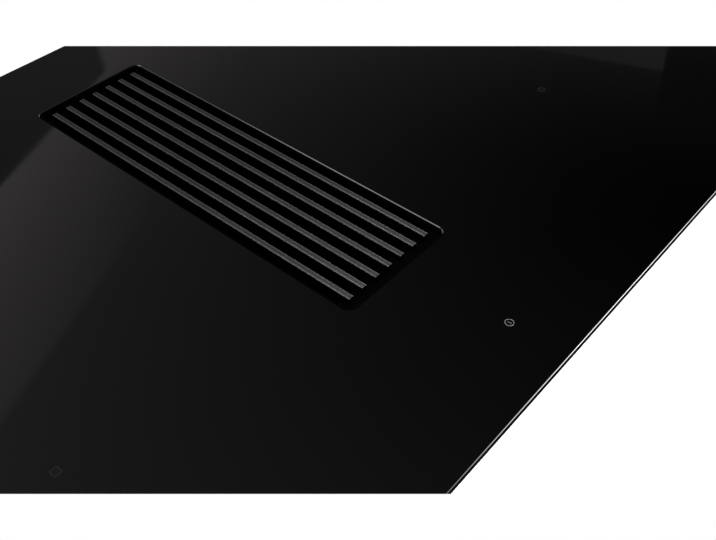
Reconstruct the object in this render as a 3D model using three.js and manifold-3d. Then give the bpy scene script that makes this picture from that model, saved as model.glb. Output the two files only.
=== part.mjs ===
// Downdraft induction cooktop: flush glass over induction modules, with a lengthwise intake grille in the
// middle, a grease filter below it, and a blower hanging under the casing. Millimetres; +X right, +Y back,
// +Z up. The origin is on the base plane, under the middle of the glass.

import * as THREE from 'three';
import { mergeVertices } from 'three/addons/utils/BufferGeometryUtils.js';
import Module from 'manifold-3d';

const wasm = await Module();
wasm.setup();

// ---------------------------------------------------------------------------------------------------
// Driving dimensions

const CLEAR = 0.3; // gap between two pieces that touch
const CUT = 2; // how far a cutting tool runs past the face it cuts

// Glass plate
const GLASS_W = 830;
const GLASS_D = 520;
const GLASS_T = 4;
const GLASS_R = 6; // corner radius
const ARRIS = 0.8; // ground bevel along every edge

// Intake cut-out
const INTAKE_Y = 26; // its middle lies this far behind the middle of the glass
const INTAKE_W = 100.6;
const INTAKE_L = 327.6;
const INTAKE_R = 6.7;

// Grille
const GRILLE_FIT = 0.6; // gap to the cut-out all round
const GRILLE_DROP = 0.6; // below the top of the glass
const RIM_T = 0.8;
const RIM_H = 17;
const SLAT_COUNT = 7;
const SLAT_W = 4.2;
const SLAT_SIDE = 7.68; // from the outer slat to the rim
const SLAT_END = 7.1; // from a slat's end to the rim
const SLAT_H = 12;
const SLAT_END_H = 5.2; // height of a slat's end, where it lies on the shelf
const SLAT_EDGE = 0.35; // rounding of a slat's edges
const SHELF_L = 15.5; // shelf across each end of the rim
const SHELF_T = 2.4;
const RIB_COUNT = 3;
const RIB_T = 3;
const RIB_H = 7;
const NOTCH = 3.2; // how deep a slat sits in a rib

// Intake well
const LINER_T = 2;
const LINER_FLANGE = 12;
const LINER_FLANGE_T = 3;
const LINER_REACH = 12; // below the casing's floor
const LEDGE = 3; // width of each ledge
const LEDGE_STEP = 6; // from the grille's ledge down to the filter's
const WELL_SEAL_T = 1.5;

// Grease filter
const FILTER_FIT = 0.6;
const FILTER_FLANGE_T = 1.2;
const FILTER_BODY_FIT = 1; // gap between the trough and the throat
const FILTER_DEPTH = 60;
const FILTER_FLOOR_W = 40;
const FILTER_SHEET = 1;
const FILTER_WINDOWS = 5;
const FILTER_BAR = 9; // between two windows, and at both ends
const FILTER_SILL = 7; // below and above the windows
const MESH_T = 1.2;
const MESH_COLUMNS = 10;
const MESH_ROWS = 3;
const MESH_WEB = 3;
const STRAP_W = 16;
const STRAP_T = 1.2;
const STRAP_DIP = 14;

// Casing
const CASING_INSET_X = 17; // in from the edge of the glass, at the sides
const CASING_INSET_Y = 19; // and at the front and back
const CASING_W = GLASS_W - 2 * CASING_INSET_X;
const CASING_D = GLASS_D - 2 * CASING_INSET_Y;
const CASING_H = 54;
const CASING_R = 4;
const SHEET = 1;
const LIP = 12; // folded flange that carries the glass
const VENT_W = 3.4;
const VENT_PITCH = 8;
const SIDE_VENTS = 8;
const VENT_H = 20;
const FLOOR_VENTS = 9; // under each fan

// Worktop seal
const SEAL_W = 10;
const SEAL_T = 2.4;
const SEAL_INSET = 2; // in from the edge of the glass

// Induction modules
const MODULE_GAP = 34; // from the well's flange to a module
const MODULE_EDGE = 2; // from a module to the folded flange
const TOUCH_D = 26; // strip for the touch board, in front of the modules
const COIL_MARGIN = 14; // round each coil
const FELT_T = 3;
const WINDING_T = 4;
const WINDING_R = 27; // inner radius
const WINDING_RIM = 4; // from the winding to the edge of its carrier
const CARRIER_H = 7;
const CARRIER_T = 2;
const FERRITES = 6;
const FERRITE_W = 14;
const PLATE_T = 2;
const PLATE_HOLE_R = 12;

// Power electronics
const BOARD_T = 1.6;
const BOARD_POST = 6;
const BOARD_MARGIN = 12;
const POST_R = 3;
const POST_INSET = 6; // from a board's edge to the middle of a post
const CAPACITOR_R = 11;
const CAPACITOR_H = 18;
const COIL_CHOKE_R = 15;
const COIL_CHOKE_H = 14;
const RELAY_W = 34;
const RELAY_D = 26;
const RELAY_H = 17;
const BRIDGE_W = 26;
const BRIDGE_D = 40;
const BRIDGE_H = 14;
const PART_INSET = 20; // from a board's edge to the middle of its tall parts
const SINK_W = 60;
const SINK_H = 22;
const SINK_BASE = 4;
const SINK_FINS = 9;
const SINK_FIN_T = 1.6;
const FAN_SIZE = 80;
const FAN_H = 20;
const FAN_RIM = 3; // least wall round its bore
const FAN_R = FAN_SIZE / 2 - FAN_RIM;
const FAN_WALL = 2;
const FAN_STRUT_W = 3;
const FAN_HUB_R = 16;
const FAN_BLADES = 7;
const FAN_TIP = 1.2; // from a blade's tip to the frame
const FAN_CHORD = 8; // half a blade's width, seen from above
const FAN_BLADE_T = 1.4;
const FILTER_BOARD_L = 150;
const FILTER_BLOCK_L = 32;
const FILTER_BLOCK_H = 18;
const TOUCH_W = 300;
const TOUCH_H = 5;
const TOUCH_PAD_R = 6;

// Plenum under the well
const TUB_MARGIN = 12; // outside the cut-out's length
const TUB_W = 128;
const TUB_T = 2.2;
const TUB_R = 8;
const SPOUT_R = 10;
const SPOUT_H = 8;
const CRADLE_H = 62;
const CRADLE_T = 2;
const TRAY_FIT = 1.5;
const TRAY_HEAD = 16; // room over the tray, for the tub's spout
const TRAY_BACK = 40; // room behind it
const TRAY_T = 1.8;
const TRAY_R = 6;
const GRIP_W = 60;
const GRIP_D = 8;
const GRIP_T = 3;

// Blower
const DUCT_W = 222; // flat duct, outside
const DUCT_H = 89;
const DUCT_T = 2;
const DUCT_R = 4; // corner radius
const DUCT_L = 45;
const DUCT_FLANGE = 5;
const DUCT_FLANGE_T = 3;
const DUCT_SETBACK = 20; // from the spigot's end to the edge of the glass
const SCROLL_T = 2.5;
const SCROLL_FLOOR = 3;
const SCROLL_SPACE = 12; // between the scroll and the plenum
const FAN_Y = 20; // impeller axis, behind the middle of the glass
const IMPELLER_R = 84;
const IMPELLER_H = 62;
const IMPELLER_LIFT = 10; // from the scroll's floor
const IMPELLER_BLADES = 11;
const BLADE_T = 2;
const BLADE_SWEEP = 0.75; // radians that a blade leans back
const BLADE_START = 6; // from the hub to the blades
const SHROUD_DROP = 8; // from the shroud's inlet to its rim
const SHROUD_LIP = 4;
const EYE_R = 54;
const BELL_FIT = 2; // between the bellmouth and the shroud
const BELL_H = 14;
const TONGUE_GAP = 8;
const SCROLL_GROWTH = 40;
const TONGUE_ANGLE = 1.13;
const KNEE_SPACE = 14;
const COVER_T = 2.5;
const HOOD_H = 56;
const HOOD_D = 200;
const HOOD_T = 2.2;
const MOTOR_R = 40;
const MOTOR_H = 34;
const MOTOR_T = 2;
const MOTOR_FOOT_R = 30;
const MOTOR_FOOT_H = 6;
const MOTOR_CHAMFER = 4;
const FOOT_RING_T = 3; // locating ring round the motor's foot
const FOOT_RING_H = 4;
const FOOT_RING_FIT = 2;
const ROTOR_AIR = 1; // between stator and rotor cup

// Non-return flap
const PIN_R = 2;
const PIN_DROP = 5.5; // from the duct's inner top to the pin
const PIN_FIT = 0.4;
const PIN_BORE = PIN_R + PIN_FIT;
const KNUCKLE_R = PIN_BORE + 1.5;
const FLAP_T = 1.6;
const FLAP_FIT = 1.5;
const STOP_T = 2;
const STOP_H = 4;
const FLAP_BACK = 16; // from the spigot's flange to the pin

// Mains connection
const TERMINAL_X = -250;
const TERMINAL_W = 120;
const TERMINAL_D = 64;
const TERMINAL_H = 40;
const TERMINAL_T = 2;
const TERMINAL_BACK = 22; // from the box to the casing's back
const GLAND_R = 11;
const GLAND_BORE_R = 7;
const GLAND_NUT_R = 15;
const GLAND_L = 26;
const GLAND_GRIP = 4; // how far the gland reaches into the box
const POLES = 5;
const POLE_W = 14;
const POLE_D = 18;
const POLE_H = 9;
const POLE_GAP = 3;
const BLOCK_FOOT_D = 22;
const BLOCK_FOOT_H = 8;

// Clamp brackets
const BRACKET_W = 30;
const BRACKET_T = 1.5;
const BRACKET_H = 30;
const BRACKET_OUT = 9;
const BRACKET_Y = 150; // to each side of the middle
const BRACKET_DROP = 5.7; // from the worktop's level to its top

// ---------------------------------------------------------------------------------------------------
// Levels and places that follow from them

const SCROLL_H = DUCT_H + SCROLL_FLOOR;
const Z_COVER = SCROLL_H + CLEAR;
const Z_HOOD = Z_COVER + COVER_T + CLEAR;
const Z_CASING = Z_HOOD + HOOD_H + CLEAR;
const Z_FLOOR = Z_CASING + SHEET + CLEAR;
const Z_GLASS = Z_CASING + CASING_H + CLEAR;
const Z_TOP = Z_GLASS + GLASS_T;
const Z_TUB = CRADLE_H + CLEAR;
const TUB_H = Z_CASING - CLEAR - Z_TUB;
const TUB_L = INTAKE_L + 2 * TUB_MARGIN;
const TRAY_L = TUB_L - CRADLE_T - GRIP_D - TRAY_BACK;
const TRAY_H = CRADLE_H - CRADLE_T - TRAY_HEAD;

// ---------------------------------------------------------------------------------------------------
// Finishes

function finish(color, roughness, metalness) {
  return new THREE.MeshStandardMaterial({ color, roughness, metalness });
}

const BLACK_GLASS = finish(0x08080a, 0.05, 0);
const SATIN_SLAT = finish(0x4a4a4c, 0.42, 0.6);
const BLACK_COAT = finish(0x0b0b0c, 0.5, 0.2);
const SHEET_STEEL = finish(0x9a9d9f, 0.4, 0.9);
const ALUMINIUM = finish(0xb9bbbd, 0.35, 0.9);
const DARK_PLASTIC = finish(0x202224, 0.55, 0);
const GREY_PLASTIC = finish(0x53575a, 0.55, 0);
const PALE_PLASTIC = finish(0xc9cbc8, 0.5, 0);
const RUBBER = finish(0x141414, 0.85, 0);
const COPPER = finish(0xb5693a, 0.4, 0.8);
const FERRITE = finish(0x2c2c2f, 0.7, 0.1);
const BOARD_GREEN = finish(0x1f5a37, 0.5, 0);
const FELT = finish(0xd9d5c8, 0.9, 0);
const STAINLESS = finish(0xb4b6b8, 0.3, 1);

// ---------------------------------------------------------------------------------------------------
// Shapes and solids

function roundRect(width, depth, radius, x = 0, y = 0) {
  const shape = new THREE.Shape();
  const w = width / 2 - radius;
  const d = depth / 2 - radius;
  shape.absarc(x + w, y - d, radius, -Math.PI / 2, 0);
  shape.absarc(x + w, y + d, radius, 0, Math.PI / 2);
  shape.absarc(x - w, y + d, radius, Math.PI / 2, Math.PI);
  shape.absarc(x - w, y - d, radius, Math.PI, 1.5 * Math.PI);
  return shape;
}

function polygon(points) {
  return new THREE.Shape(points.map(([x, y]) => new THREE.Vector2(x, y)));
}

function circle(radius, x = 0, y = 0) {
  const shape = new THREE.Shape();
  shape.absarc(x, y, radius, 0, 2 * Math.PI);
  return shape;
}

// The line moved sideways to its left, with mitred corners.
function offsetLine(points, distance) {
  return points.map((point, i) => {
    const before = points[Math.max(i - 1, 0)];
    const here = points[i];
    const after = points[Math.min(i + 1, points.length - 1)];
    const normals = [];
    for (const [a, b] of [[before, here], [here, after]]) {
      const run = Math.hypot(b[0] - a[0], b[1] - a[1]);
      if (run > 0) normals.push([-(b[1] - a[1]) / run, (b[0] - a[0]) / run]);
    }
    const sum = [normals[0][0] + normals.at(-1)[0], normals[0][1] + normals.at(-1)[1]];
    const scale = 2 * distance / (sum[0] ** 2 + sum[1] ** 2);
    return [point[0] + sum[0] * scale, point[1] + sum[1] * scale];
  });
}

// A strip of sheet bent along a line.
function strip(points, thickness) {
  const left = offsetLine(points, thickness / 2);
  const right = offsetLine(points, -thickness / 2);
  return polygon([...right, ...left.reverse()]);
}

function extrude(shape, height, arcSteps = 3) {
  return new THREE.ExtrudeGeometry(shape, { depth: height, bevelEnabled: false, curveSegments: arcSteps });
}

function bevelled(shape, height, bevel, arcSteps = 3) {
  const geometry = new THREE.ExtrudeGeometry(shape, {
    depth: height - 2 * bevel,
    bevelThickness: bevel,
    bevelSize: bevel,
    bevelOffset: -bevel,
    bevelSegments: 1,
    curveSegments: arcSteps,
  });
  return geometry.translate(0, 0, bevel);
}

function slab(shape, z, height, arcSteps = 3) {
  return solidOf(extrude(shape, height, arcSteps).translate(0, 0, z));
}

// A profile in X and Z, run along Y from the front.
function alongY(shape, y, length, arcSteps = 3) {
  return extrude(shape, length, arcSteps).rotateX(Math.PI / 2).translate(0, y + length, 0);
}

// A profile in Y and Z, run along X from the left.
function alongX(shape, x, length, arcSteps = 3) {
  const turn = new THREE.Matrix4().set(0, 0, 1, x, 1, 0, 0, 0, 0, 1, 0, 0, 0, 0, 0, 1);
  return extrude(shape, length, arcSteps).applyMatrix4(turn);
}

// A closed profile of radius and height, turned round the Z axis.
function turned(points, segments = 32) {
  const profile = points.map(([r, z]) => new THREE.Vector2(r, z));
  if (THREE.ShapeUtils.area(profile) < 0) profile.reverse();
  if (profile.every((point) => point.x > 0)) profile.push(profile[0].clone());
  return new THREE.LatheGeometry(profile, segments).rotateX(Math.PI / 2);
}

function block(width, depth, height, x = 0, y = 0, z = 0) {
  return solidOf(new THREE.BoxGeometry(width, depth, height).translate(x, y, z + height / 2));
}

function disc(radius, height, x = 0, y = 0, z = 0, segments = 24) {
  const profile = [[0, 0], [radius, 0], [radius, height], [0, height]];
  return solidOf(turned(profile, segments).translate(x, y, z));
}

function solidOf(geometry) {
  const bare = geometry.clone();
  bare.deleteAttribute('normal');
  bare.deleteAttribute('uv');
  const merged = mergeVertices(bare, 1e-4);
  const index = merged.index.array;
  const corners = [];
  for (let i = 0; i < index.length; i += 3) {
    const [a, b, c] = [index[i], index[i + 1], index[i + 2]];
    if (a !== b && b !== c && c !== a) corners.push(a, b, c);
  }
  const mesh = new wasm.Mesh({
    numProp: 3,
    vertProperties: new Float32Array(merged.attributes.position.array),
    triVerts: new Uint32Array(corners),
  });
  return new wasm.Manifold(mesh);
}

function joined(solids) {
  return solids.reduce((whole, part) => whole.add(part));
}

function cut(solid, tools) {
  return tools.reduce((rest, tool) => rest.subtract(tool), solid);
}

function piece(name, solid, material) {
  const mesh = solid.getMesh();
  const geometry = new THREE.BufferGeometry();
  geometry.setAttribute('position', new THREE.BufferAttribute(mesh.vertProperties, 3));
  geometry.setIndex(new THREE.BufferAttribute(mesh.triVerts, 1));
  geometry.computeVertexNormals();
  const result = new THREE.Mesh(geometry, material);
  result.name = name;
  return result;
}

function group(x, y, z, ...members) {
  const result = new THREE.Group();
  result.position.set(x, y, z);
  result.add(...members);
  return result;
}

// ---------------------------------------------------------------------------------------------------
// Glass top and its seals

function glassPlate() {
  const outline = roundRect(GLASS_W, GLASS_D, GLASS_R);
  const intake = roundRect(INTAKE_W, INTAKE_L, INTAKE_R, 0, INTAKE_Y);
  outline.holes.push(intake);
  const plate = piece('glass_plate', solidOf(bevelled(outline, GLASS_T, ARRIS, 3)), BLACK_GLASS);
  plate.position.z = Z_GLASS;
  return plate;
}

function worktopSeal() {
  const outer = roundRect(GLASS_W - 2 * SEAL_INSET, GLASS_D - 2 * SEAL_INSET, GLASS_R);
  const width = GLASS_W - 2 * SEAL_INSET - 2 * SEAL_W;
  const depth = GLASS_D - 2 * SEAL_INSET - 2 * SEAL_W;
  outer.holes.push(roundRect(width, depth, GLASS_R / 2));
  return piece('worktop_seal', slab(outer, Z_GLASS - CLEAR - SEAL_T, SEAL_T), RUBBER);
}

function wellSeal() {
  const outer = roundRect(INTAKE_W + 2 * LINER_FLANGE, INTAKE_L + 2 * LINER_FLANGE, INTAKE_R, 0, INTAKE_Y);
  outer.holes.push(roundRect(INTAKE_W + LINER_T, INTAKE_L + LINER_T, INTAKE_R, 0, INTAKE_Y));
  return piece('well_seal', slab(outer, Z_GLASS - CLEAR - WELL_SEAL_T, WELL_SEAL_T), RUBBER);
}

// ---------------------------------------------------------------------------------------------------
// Grille: a rim with end shelves and notched ribs, and the slats that sit in them. The group's origin is
// the middle of the cut-out, at the top of the rim.

const RIM_W = INTAKE_W - 2 * GRILLE_FIT;
const RIM_L = INTAKE_L - 2 * GRILLE_FIT;
const RIM_R = INTAKE_R - GRILLE_FIT;
const SLAT_L = RIM_L - 2 * RIM_T - 2 * SLAT_END;
const SLAT_PITCH = (RIM_W - 2 * RIM_T - 2 * SLAT_SIDE - SLAT_W) / (SLAT_COUNT - 1);
const SHELF_Z = -SLAT_END_H - CLEAR - SHELF_T;

function slatX(i) {
  return (i - (SLAT_COUNT - 1) / 2) * SLAT_PITCH;
}

function grilleFrame() {
  const inner = roundRect(RIM_W - 2 * RIM_T, RIM_L - 2 * RIM_T, RIM_R - RIM_T);
  const rim = roundRect(RIM_W, RIM_L, RIM_R);
  rim.holes.push(inner);
  const parts = [slab(rim, -RIM_H, RIM_H, 2)];
  const span = RIM_W - RIM_T;
  const shelfY = RIM_L / 2 - SHELF_L / 2 - RIM_T / 2;
  for (const side of [-1, 1]) {
    const shelf = roundRect(span, SHELF_L, RIM_R - RIM_T / 2, 0, side * shelfY);
    parts.push(slab(shelf, SHELF_Z, SHELF_T, 2));
    const foldY = side * (shelfY - SHELF_L / 2 + RIB_T / 2);
    parts.push(block(span, RIB_T, SHELF_T * 2, 0, foldY, SHELF_Z - SHELF_T));
  }
  const notches = [];
  for (let rib = 0; rib < RIB_COUNT; rib += 1) {
    const y = ((rib + 1) / (RIB_COUNT + 1) - 0.5) * (RIM_L - 2 * SHELF_L);
    parts.push(block(span, RIB_T, RIB_H, 0, y, NOTCH - SLAT_H - RIB_H));
    for (let i = 0; i < SLAT_COUNT; i += 1) {
      const depth = NOTCH + CLEAR;
      notches.push(block(SLAT_W + 2 * CLEAR, RIB_T + CUT, depth + CUT, slatX(i), y, NOTCH - SLAT_H - depth));
    }
  }
  return piece('grille_frame', cut(joined(parts), notches), BLACK_COAT);
}

function grilleSlat(i) {
  const end = SLAT_L / 2;
  const step = RIM_L / 2 - SHELF_L - RIM_T - CLEAR;
  const side = polygon([
    [-step, -SLAT_H], [step, -SLAT_H], [step, -SLAT_END_H], [end, -SLAT_END_H],
    [end, 0], [-end, 0], [-end, -SLAT_END_H], [-step, -SLAT_END_H],
  ]);
  const turn = new THREE.Matrix4().set(0, 0, 1, -SLAT_W / 2, 1, 0, 0, 0, 0, 1, 0, 0, 0, 0, 0, 1);
  const bar = bevelled(side, SLAT_W, SLAT_EDGE).applyMatrix4(turn);
  const slat = piece(`grille_slat_${i + 1}`, solidOf(bar), SATIN_SLAT);
  slat.position.x = slatX(i);
  return slat;
}

function grille() {
  const slats = Array.from({ length: SLAT_COUNT }, (_, i) => grilleSlat(i));
  return group(0, INTAKE_Y, Z_TOP - GRILLE_DROP, grilleFrame(), ...slats);
}

// ---------------------------------------------------------------------------------------------------
// Intake well: a moulded liner hung under the glass, with a ledge for the grille and one for the filter

const GRILLE_LEDGE_Z = Z_TOP - GRILLE_DROP - RIM_H - CLEAR;
const FILTER_LEDGE_Z = GRILLE_LEDGE_Z - LEDGE_STEP;

function wellShape(grow) {
  return roundRect(INTAKE_W + 2 * grow, INTAKE_L + 2 * grow, Math.max(INTAKE_R + grow, 1.5));
}

function wellLiner() {
  const top = Z_GLASS - 2 * CLEAR - WELL_SEAL_T;
  const bottom = Z_CASING - LINER_REACH;
  const outside = [
    [LINER_FLANGE, top - LINER_FLANGE_T],
    [LINER_T, GRILLE_LEDGE_Z - LINER_T],
    [LINER_T - LEDGE, FILTER_LEDGE_Z - LINER_T],
    [LINER_T - 2 * LEDGE, bottom],
  ];
  const inside = [[0, GRILLE_LEDGE_Z], [-LEDGE, FILTER_LEDGE_Z], [-2 * LEDGE, bottom - CUT]];
  const body = joined(outside.map(([grow, z]) => slab(wellShape(grow), z, top - z, 2)));
  const hollows = inside.map(([grow, z]) => slab(wellShape(grow), z, top + CUT - z, 2));
  return piece('well_liner', cut(body, hollows), DARK_PLASTIC);
}

// ---------------------------------------------------------------------------------------------------
// Grease filter: a V-shaped trough with windows, a mesh panel against each side, and a lift-out strap. The
// group's origin is the middle of the filter's flange, at its top.

const FILTER_TOP_W = INTAKE_W - 4 * LEDGE - 2 * FILTER_BODY_FIT;
const FILTER_L = INTAKE_L - 4 * LEDGE - 2 * FILTER_BODY_FIT;
const FILTER_LEAN = Math.atan2((FILTER_TOP_W - FILTER_FLOOR_W) / 2, FILTER_DEPTH);

function troughProfile(inset) {
  const lean = inset / Math.cos(FILTER_LEAN);
  const slope = Math.tan(FILTER_LEAN);
  const top = FILTER_TOP_W / 2 - lean;
  const low = FILTER_FLOOR_W / 2 - lean + inset * slope;
  const over = inset > 0 ? CUT : 0;
  return polygon([
    [-low, inset - FILTER_DEPTH], [low, inset - FILTER_DEPTH],
    [top + over * slope, over], [-top - over * slope, over],
  ]);
}

function filterFrame() {
  const flange = wellShape(-LEDGE - FILTER_FIT);
  const trough = solidOf(alongY(troughProfile(0), -FILTER_L / 2, FILTER_L));
  const inside = FILTER_L - 2 * FILTER_SHEET;
  const hollow = solidOf(alongY(troughProfile(FILTER_SHEET), -inside / 2, inside));
  const pitch = (FILTER_L - FILTER_BAR) / FILTER_WINDOWS;
  const low = FILTER_SILL - FILTER_DEPTH;
  const windows = [];
  for (let i = 0; i < FILTER_WINDOWS; i += 1) {
    const y = (i - (FILTER_WINDOWS - 1) / 2) * pitch;
    const height = -FILTER_SILL - FILTER_FLANGE_T - low;
    const opening = roundRect(pitch - FILTER_BAR, height, 3, y, low + height / 2);
    windows.push(solidOf(alongX(opening, -FILTER_TOP_W, 2 * FILTER_TOP_W, 1)));
  }
  const body = joined([slab(flange, -FILTER_FLANGE_T, FILTER_FLANGE_T), trough]);
  return piece('filter_frame', cut(body, [hollow, ...windows]), STAINLESS);
}

function filterMesh(name, side) {
  const length = FILTER_L - 2 * FILTER_SHEET - 2 * CLEAR;
  const height = (FILTER_DEPTH - FILTER_SHEET) / Math.cos(FILTER_LEAN) - 2 * FILTER_FLANGE_T - MESH_T - CLEAR;
  const panel = roundRect(height, length, 1);
  const column = (length - MESH_WEB) / MESH_COLUMNS;
  const row = (height - MESH_WEB) / MESH_ROWS;
  for (let i = 0; i < MESH_COLUMNS; i += 1) {
    for (let j = 0; j < MESH_ROWS; j += 1) {
      const x = (j + 0.5) * row + MESH_WEB / 2 - height / 2;
      const y = (i + 0.5) * column + MESH_WEB / 2 - length / 2;
      const dx = (row - MESH_WEB) / 2;
      const dy = (column - MESH_WEB) / 2;
      panel.holes.push(polygon([[x - dx, y], [x, y - dy], [x + dx, y], [x, y + dy]]));
    }
  }
  // The panel leans with the trough's side: its lower edge stands on the trough's floor.
  const lean = Math.PI / 2 - FILTER_LEAN;
  const foot = FILTER_FLOOR_W / 2 - (FILTER_SHEET + CLEAR + MESH_T) / Math.cos(FILTER_LEAN);
  const rise = FILTER_SHEET + CLEAR + MESH_T * Math.sin(FILTER_LEAN);
  const x = foot + MESH_T * Math.cos(FILTER_LEAN) + rise * Math.tan(FILTER_LEAN);
  const geometry = extrude(panel, MESH_T, 1).translate(height / 2, 0, 0).rotateY(-lean);
  geometry.translate(x, 0, rise - FILTER_DEPTH);
  if (side < 0) geometry.rotateZ(Math.PI);
  return piece(name, solidOf(geometry), STAINLESS);
}

function filterStrap() {
  const half = INTAKE_W / 2 - LEDGE - FILTER_FIT;
  const level = CLEAR + STRAP_T / 2;
  const line = [
    [-half, level], [-half * 0.7, level], [-half * 0.5, level - STRAP_DIP],
    [half * 0.5, level - STRAP_DIP], [half * 0.7, level], [half, level],
  ];
  return piece('filter_strap', solidOf(alongY(strip(line, STRAP_T), -STRAP_W / 2, STRAP_W)), STAINLESS);
}

function greaseFilter() {
  const z = FILTER_LEDGE_Z + CLEAR + FILTER_FLANGE_T;
  return group(
    0, INTAKE_Y, z, filterFrame(), filterMesh('filter_mesh_left', -1), filterMesh('filter_mesh_right', 1),
    filterStrap(),
  );
}

// ---------------------------------------------------------------------------------------------------
// Casing: a folded sheet tray that carries the glass on its flange, with air slots in its floor and sides

const MODULE_IN = INTAKE_W / 2 + LINER_FLANGE + MODULE_GAP;
const MODULE_OUT = CASING_W / 2 - SHEET - LIP - MODULE_EDGE;
const MODULE_W = MODULE_OUT - MODULE_IN;
const MODULE_X = (MODULE_IN + MODULE_OUT) / 2;
const MODULE_BACK = CASING_D / 2 - SHEET - LIP - MODULE_EDGE;
const MODULE_FRONT = -CASING_D / 2 + SHEET + LIP + TOUCH_D + 2 * MODULE_EDGE;
const MODULE_L = MODULE_BACK - MODULE_FRONT;
const MODULE_Y = (MODULE_FRONT + MODULE_BACK) / 2;
const COOLER_X = FAN_SIZE / 2 + PLATE_T + MODULE_EDGE - MODULE_W / 2; // in a module, from its middle
const COOLER_Y = FAN_SIZE - MODULE_L / 2;

function slot(width, length, x, y) {
  const [w, l] = [width / 2, length / 2];
  return polygon([[x - w, y - l], [x + w, y - l], [x + w, y + l], [x - w, y + l]]);
}

function casing() {
  const outer = slab(roundRect(CASING_W, CASING_D, CASING_R), 0, CASING_H, 2);
  const inner = roundRect(CASING_W - 2 * SHEET, CASING_D - 2 * SHEET, CASING_R - SHEET);
  const mouth = roundRect(CASING_W - 2 * SHEET - 2 * LIP, CASING_D - 2 * SHEET - 2 * LIP, CASING_R);
  const throat = wellShape(LINER_T - 2 * LEDGE + 1);
  const tools = [
    slab(inner, SHEET, CASING_H - 2 * SHEET, 2),
    slab(mouth, SHEET, CASING_H + CUT, 2),
    slab(throat, -CUT, SHEET + 2 * CUT).translate([0, INTAKE_Y, 0]),
  ];
  for (const side of [-1, 1]) {
    for (let i = 0; i < FLOOR_VENTS; i += 1) {
      const off = (i - (FLOOR_VENTS - 1) / 2) * VENT_PITCH;
      const x = side * (MODULE_X + COOLER_X) + off;
      const length = 2 * Math.sqrt((FAN_R - VENT_W) ** 2 - off ** 2);
      const y = MODULE_Y + side * COOLER_Y;
      tools.push(slab(slot(VENT_W, length, x, y), -CUT, SHEET + 2 * CUT));
    }
    for (let i = 0; i < SIDE_VENTS; i += 1) {
      const y = (i - (SIDE_VENTS - 1) / 2) * VENT_PITCH;
      const opening = slot(VENT_W, VENT_H, y, CASING_H / 2);
      tools.push(solidOf(alongX(opening, side * (CASING_W / 2 - SHEET / 2) - CUT, 2 * CUT, 2)));
      const back = slot(VENT_W, VENT_H, side * MODULE_X + y, CASING_H / 2);
      tools.push(solidOf(alongY(back, CASING_D / 2 - SHEET / 2 - CUT, 2 * CUT, 2)));
    }
  }
  const result = piece('casing', cut(outer, tools), SHEET_STEEL);
  result.position.z = Z_CASING;
  return result;
}

function clampBracket(name, side, y) {
  const line = [
    [0, 0], [0, BRACKET_H * 0.75], [BRACKET_OUT * 0.5, BRACKET_H], [BRACKET_OUT, BRACKET_H * 0.7],
    [BRACKET_OUT * 0.75, BRACKET_H * 0.3],
  ];
  const profile = strip(line, BRACKET_T);
  const geometry = alongY(profile, -BRACKET_W / 2, BRACKET_W);
  if (side < 0) geometry.rotateZ(Math.PI);
  const bracket = piece(name, solidOf(geometry), SHEET_STEEL);
  const x = side * (CASING_W / 2 + CLEAR + BRACKET_T / 2);
  bracket.position.set(x, y, Z_GLASS - CLEAR - SEAL_T - BRACKET_DROP - BRACKET_H);
  return bracket;
}

// ---------------------------------------------------------------------------------------------------
// Induction module: a folded plate over the electronics, two coils on it and a felt under the glass. Its
// group's origin is the middle of the module, just above the casing's floor.

const FELT_Z = Z_GLASS - CLEAR - FELT_T - Z_FLOOR;
const WINDING_Z = FELT_Z - CLEAR - WINDING_T;
const CARRIER_Z = WINDING_Z - CLEAR - CARRIER_H;
const PLATE_TOP = CARRIER_Z - CLEAR;
const COIL_Y = MODULE_L / 4;
const COIL_SIZE = MODULE_L / 2 - 2 * COIL_MARGIN;

function coilPlate(name) {
  const x = MODULE_W / 2 - PLATE_T / 2;
  const z = PLATE_TOP - PLATE_T / 2;
  const profile = strip([[-x, 0], [-x, z], [x, z], [x, 0]], PLATE_T);
  const low = z - PLATE_T / 2 - CUT;
  const holes = [-1, 1].map((row) => disc(PLATE_HOLE_R, PLATE_T + 2 * CUT, 0, row * COIL_Y, low));
  return piece(name, cut(solidOf(alongY(profile, -MODULE_L / 2, MODULE_L)), holes), ALUMINIUM);
}

function coilCarrier(name, y) {
  const base = slab(roundRect(COIL_SIZE, COIL_SIZE, COIL_SIZE / 5), 0, CARRIER_T, 2);
  const parts = [base];
  const reach = COIL_SIZE / 2 - WINDING_RIM - WINDING_R;
  for (let i = 0; i < FERRITES; i += 1) {
    const bar = new THREE.BoxGeometry(reach, FERRITE_W, CARRIER_H);
    bar.translate(WINDING_R + reach / 2, 0, CARRIER_H / 2).rotateZ(2 * Math.PI * i / FERRITES);
    parts.push(solidOf(bar));
  }
  const eye = disc(WINDING_R / 2, CARRIER_H + 2 * CUT, 0, 0, -CUT, 16);
  const carrier = piece(name, cut(joined(parts), [eye]), FERRITE);
  carrier.position.set(0, y, CARRIER_Z);
  return carrier;
}

function coilWinding(name, y) {
  const outer = COIL_SIZE / 2 - WINDING_RIM;
  const profile = [[WINDING_R, 0], [outer, 0], [outer, WINDING_T], [WINDING_R, WINDING_T]];
  const winding = piece(name, solidOf(turned(profile, 28)), COPPER);
  winding.position.set(0, y, WINDING_Z);
  return winding;
}

function feltSheet(name) {
  const sheet = roundRect(MODULE_W - 2 * MODULE_EDGE, MODULE_L - 2 * MODULE_EDGE, 6);
  return piece(name, slab(sheet, FELT_Z, FELT_T, 2), FELT);
}

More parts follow.
